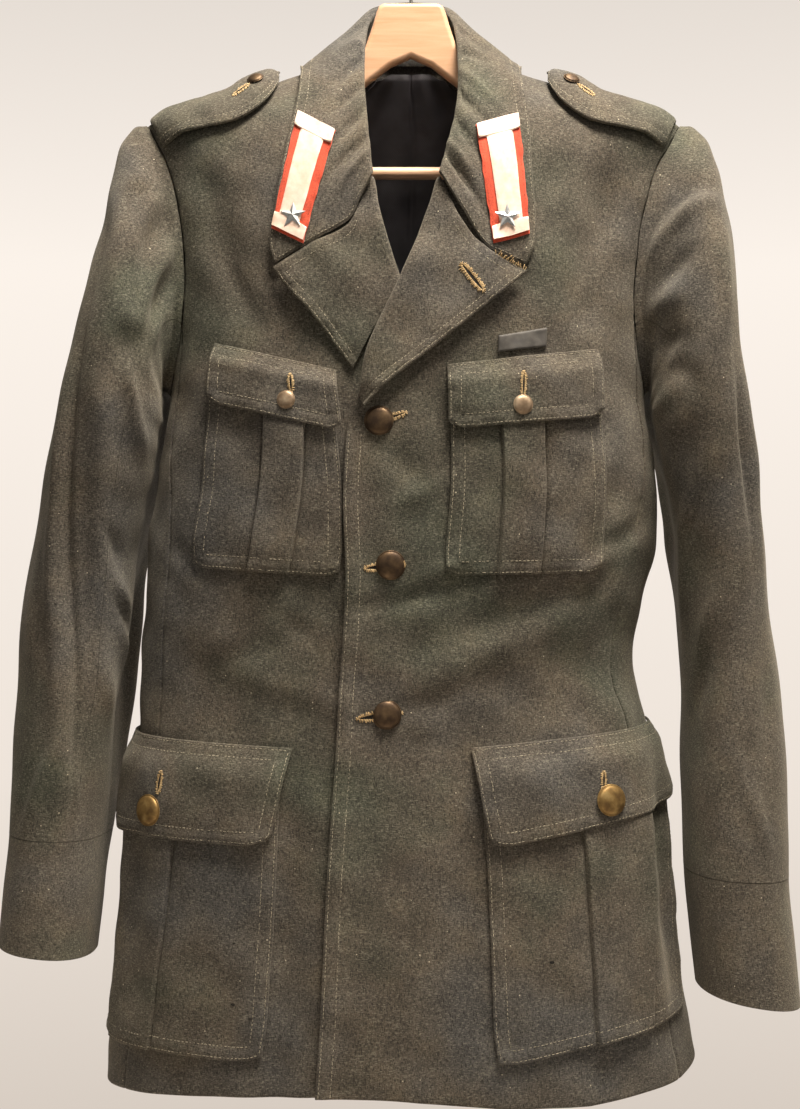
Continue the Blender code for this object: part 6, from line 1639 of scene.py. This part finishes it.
RIBBON = ((0.0671, -0.3380), (0.1045, -0.3311), (0.1045, -0.3456), (0.0671, -0.3505))
a, b = np.broadcast_arrays(np.linspace(0, 1, 61)[None], np.linspace(0, 1, 17)[:, None])
u, z = between(RIBBON, a, b)
edge = from_edge(a, b, 0.038, 0.0135)
out = 0.0026 - 0.0008 * (1 - np.clip(edge / 0.0014, 0, 1)) ** 2 + 0.0002 * np.sin(a * 13) * np.sin(b * 5)
piece = shell("ribbon_cloth", on_front(u, z, out, True)[0], on_front(u, z, 0.0010, True)[0])
grey_ribbon, t, shader, place = material("grey_corded_ribbon")
cords = wave(t, place, "X", 420.0, 0.6, 1.0)
mixed = calc(t, "MULTIPLY_ADD", cords, 0.25, noise(t, place, 160.0, 5.0))
finish(t, shader, mixed, ((0.4, "#3d3b38"), (0.85, "#5d5a54")), cords, 0.4, 0.0003, Roughness=0.62)
sew(piece, "ribbon_bar", grey_ribbon, "grey_ribbon", (0.040, 0.016), held="laid")

black_cotton, t, shader, place = material("black_cotton_twill")
twill = wave(t, add(t, "Mapping", Vector=place, Rotation=(0.0, 0.9, 0.0)), "X", 330.0, 0.8, 2.0)
mixed = calc(t, "MULTIPLY_ADD", twill, 0.2, noise(t, place, 60.0, 5.0))
finish(t, shader, mixed, ((0.4, "#1a181b"), (0.9, "#343136")), twill, 0.3, 0.0003, Roughness=0.55)

z = np.append(np.linspace(-0.3222, NECK_SIDE, 70), np.linspace(NECK_SIDE, -0.1100, 8)[1:])[:, None]
share = np.linspace(4 / 12, 8 / 12, 81)[None]
f = back_place(z) * (1 - share) + (4 - back_place(z)) * share
base, off = cloth(f, z, -WOOL - 0.0006), normal_at(f, z)
middle = (f - 2) * 0.25
relief = -0.0010 * (1 - np.exp(-((middle / 0.0022) ** 2)))
relief = relief + ripple(z, 0.0001, 3.0) * np.exp(-((middle / 0.02) ** 2))
relief = relief - 0.0006 * (1 + np.sin(middle * 150 + z * 9))
piece = shell("neck_lining_cloth", base, base + off * (np.minimum(relief, 0) - 0.0009)[..., None])
sew(piece, "neck_lining", black_cotton, "dark_lining", (0.165, 0.22), held="hung", area=0.026)


# ---- Hanger ------------------------------------------------------------------------------------
# Flat beech hanger cut from 12 mm board with rounded edges, sanded and clear-lacquered, with a
# round bar let in between its arms and a steel wire hook screwed into its head.

beech, t, shader, place = material("lacquered_beech")
lengthwise = add(t, "Mapping", Vector=place, Scale=(9.0, 120.0, 120.0))
grain = add(t, "TexNoise", Vector=lengthwise, Scale=1.6, Detail=6.0, Roughness=0.6, Distortion=0.4)
small = add(t, "Mapping", Vector=place, Scale=(260.0, 900.0, 1500.0))
rays = add(t, "TexVoronoi", Vector=small, Scale=1.0)
fleck = calc(t, "MULTIPLY", calc(t, "LESS_THAN", rays.outputs["Distance"], 0.16), 0.28)
tone = ramp(t, grain, (0.30, "#d6a67e"), (0.5, "#e1b48e"), (0.70, "#e8bf9a"))
fill(t, shader, Base_Color=blend(t, fleck, tone, hue("#b98a5c")), Normal=bump(t, grain, 0.12, 0.0006))
fill(t, shader, Roughness=0.42, Coat_Weight=0.25, Coat_Roughness=0.3)

steel, t, shader, place = material("plated_steel_wire")
drawn = noise(t, place, 500.0, 4.0)
tone = ramp(t, drawn, (0.35, "#a9a6a0"), (0.65, "#d6d3cc"))
fill(t, shader, Base_Color=tone, Metallic=1.0, Roughness=rubbed(t, drawn, 0.34, 0.22))

looks = {"hanger_bar": beech, "hanger_hook": steel}
looks |= {f"collar_star_{side}": white_metal for side in ("left", "right")}
for node, look in looks.items():
    for slot in bpy.data.objects[node].material_slots:
        slot.material = look

HANGER_TOP = ((0.0, -0.0655), (0.0215, -0.0655), (0.0252, -0.0675), (0.0272, -0.0720))
HANGER_TOP += ((0.0308, -0.0840), (0.0362, -0.1000), (0.0490, -0.1150), (0.0600, -0.1228))
HANGER_UNDER = ((0.1985, -0.182), (0.1975, -0.203), (0.1935, -0.209), (0.1870, -0.210))
HANGER_UNDER += ((0.1825, -0.206), (0.1822, -0.191), (0.1760, -0.186), (0.1500, -0.177))
HANGER_UNDER += ((0.0720, -0.1530), (0.0373, -0.1315), (0.0160, -0.1150), (0.0, -0.1080))
BOARD_THICK, ROUNDING, HANGER_DROP = 0.012, 0.0036, 0.0048
above = LEVELS[LEVELS > SHOULDER]
order = np.argsort(ring(HALF, above))
arm_x = np.linspace(0.080, 0.193, 12)
arm_z = np.interp(arm_x, ring(HALF, above)[order], above[order]) - HANGER_DROP
outline = [*HANGER_TOP, *zip(arm_x.tolist(), arm_z.tolist()), *HANGER_UNDER]
outline = outline + [(-x, z) for x, z in outline[-2:0:-1]]
curve = bpy.data.curves.new("hanger_board", "CURVE")
spline = curve.splines.new("POLY")
spline.points.add(len(outline) - 1)
for point, (x, z) in zip(spline.points, outline):
    point.co = (x, z, 0.0, 1.0)
spline.use_cyclic_u = True
curve.dimensions = "2D"
curve.fill_mode = "BOTH"
curve.bevel_depth = ROUNDING
curve.bevel_resolution = 4
curve.offset = -ROUNDING
curve.extrude = BOARD_THICK / 2 - ROUNDING
maker = put("hanger_board_curve", curve)
mesh = bpy.data.meshes.new_from_object(maker)
bpy.data.objects.remove(maker)
mesh.transform(Matrix.Rotation(math.pi / 2, 4, "X"))
mesh.shade_smooth()
mesh.set_sharp_from_angle(angle=math.radians(35))
mesh.materials.clear()
sew(put("hanger_board", mesh), "hanger_body", beech, "pale_beech")
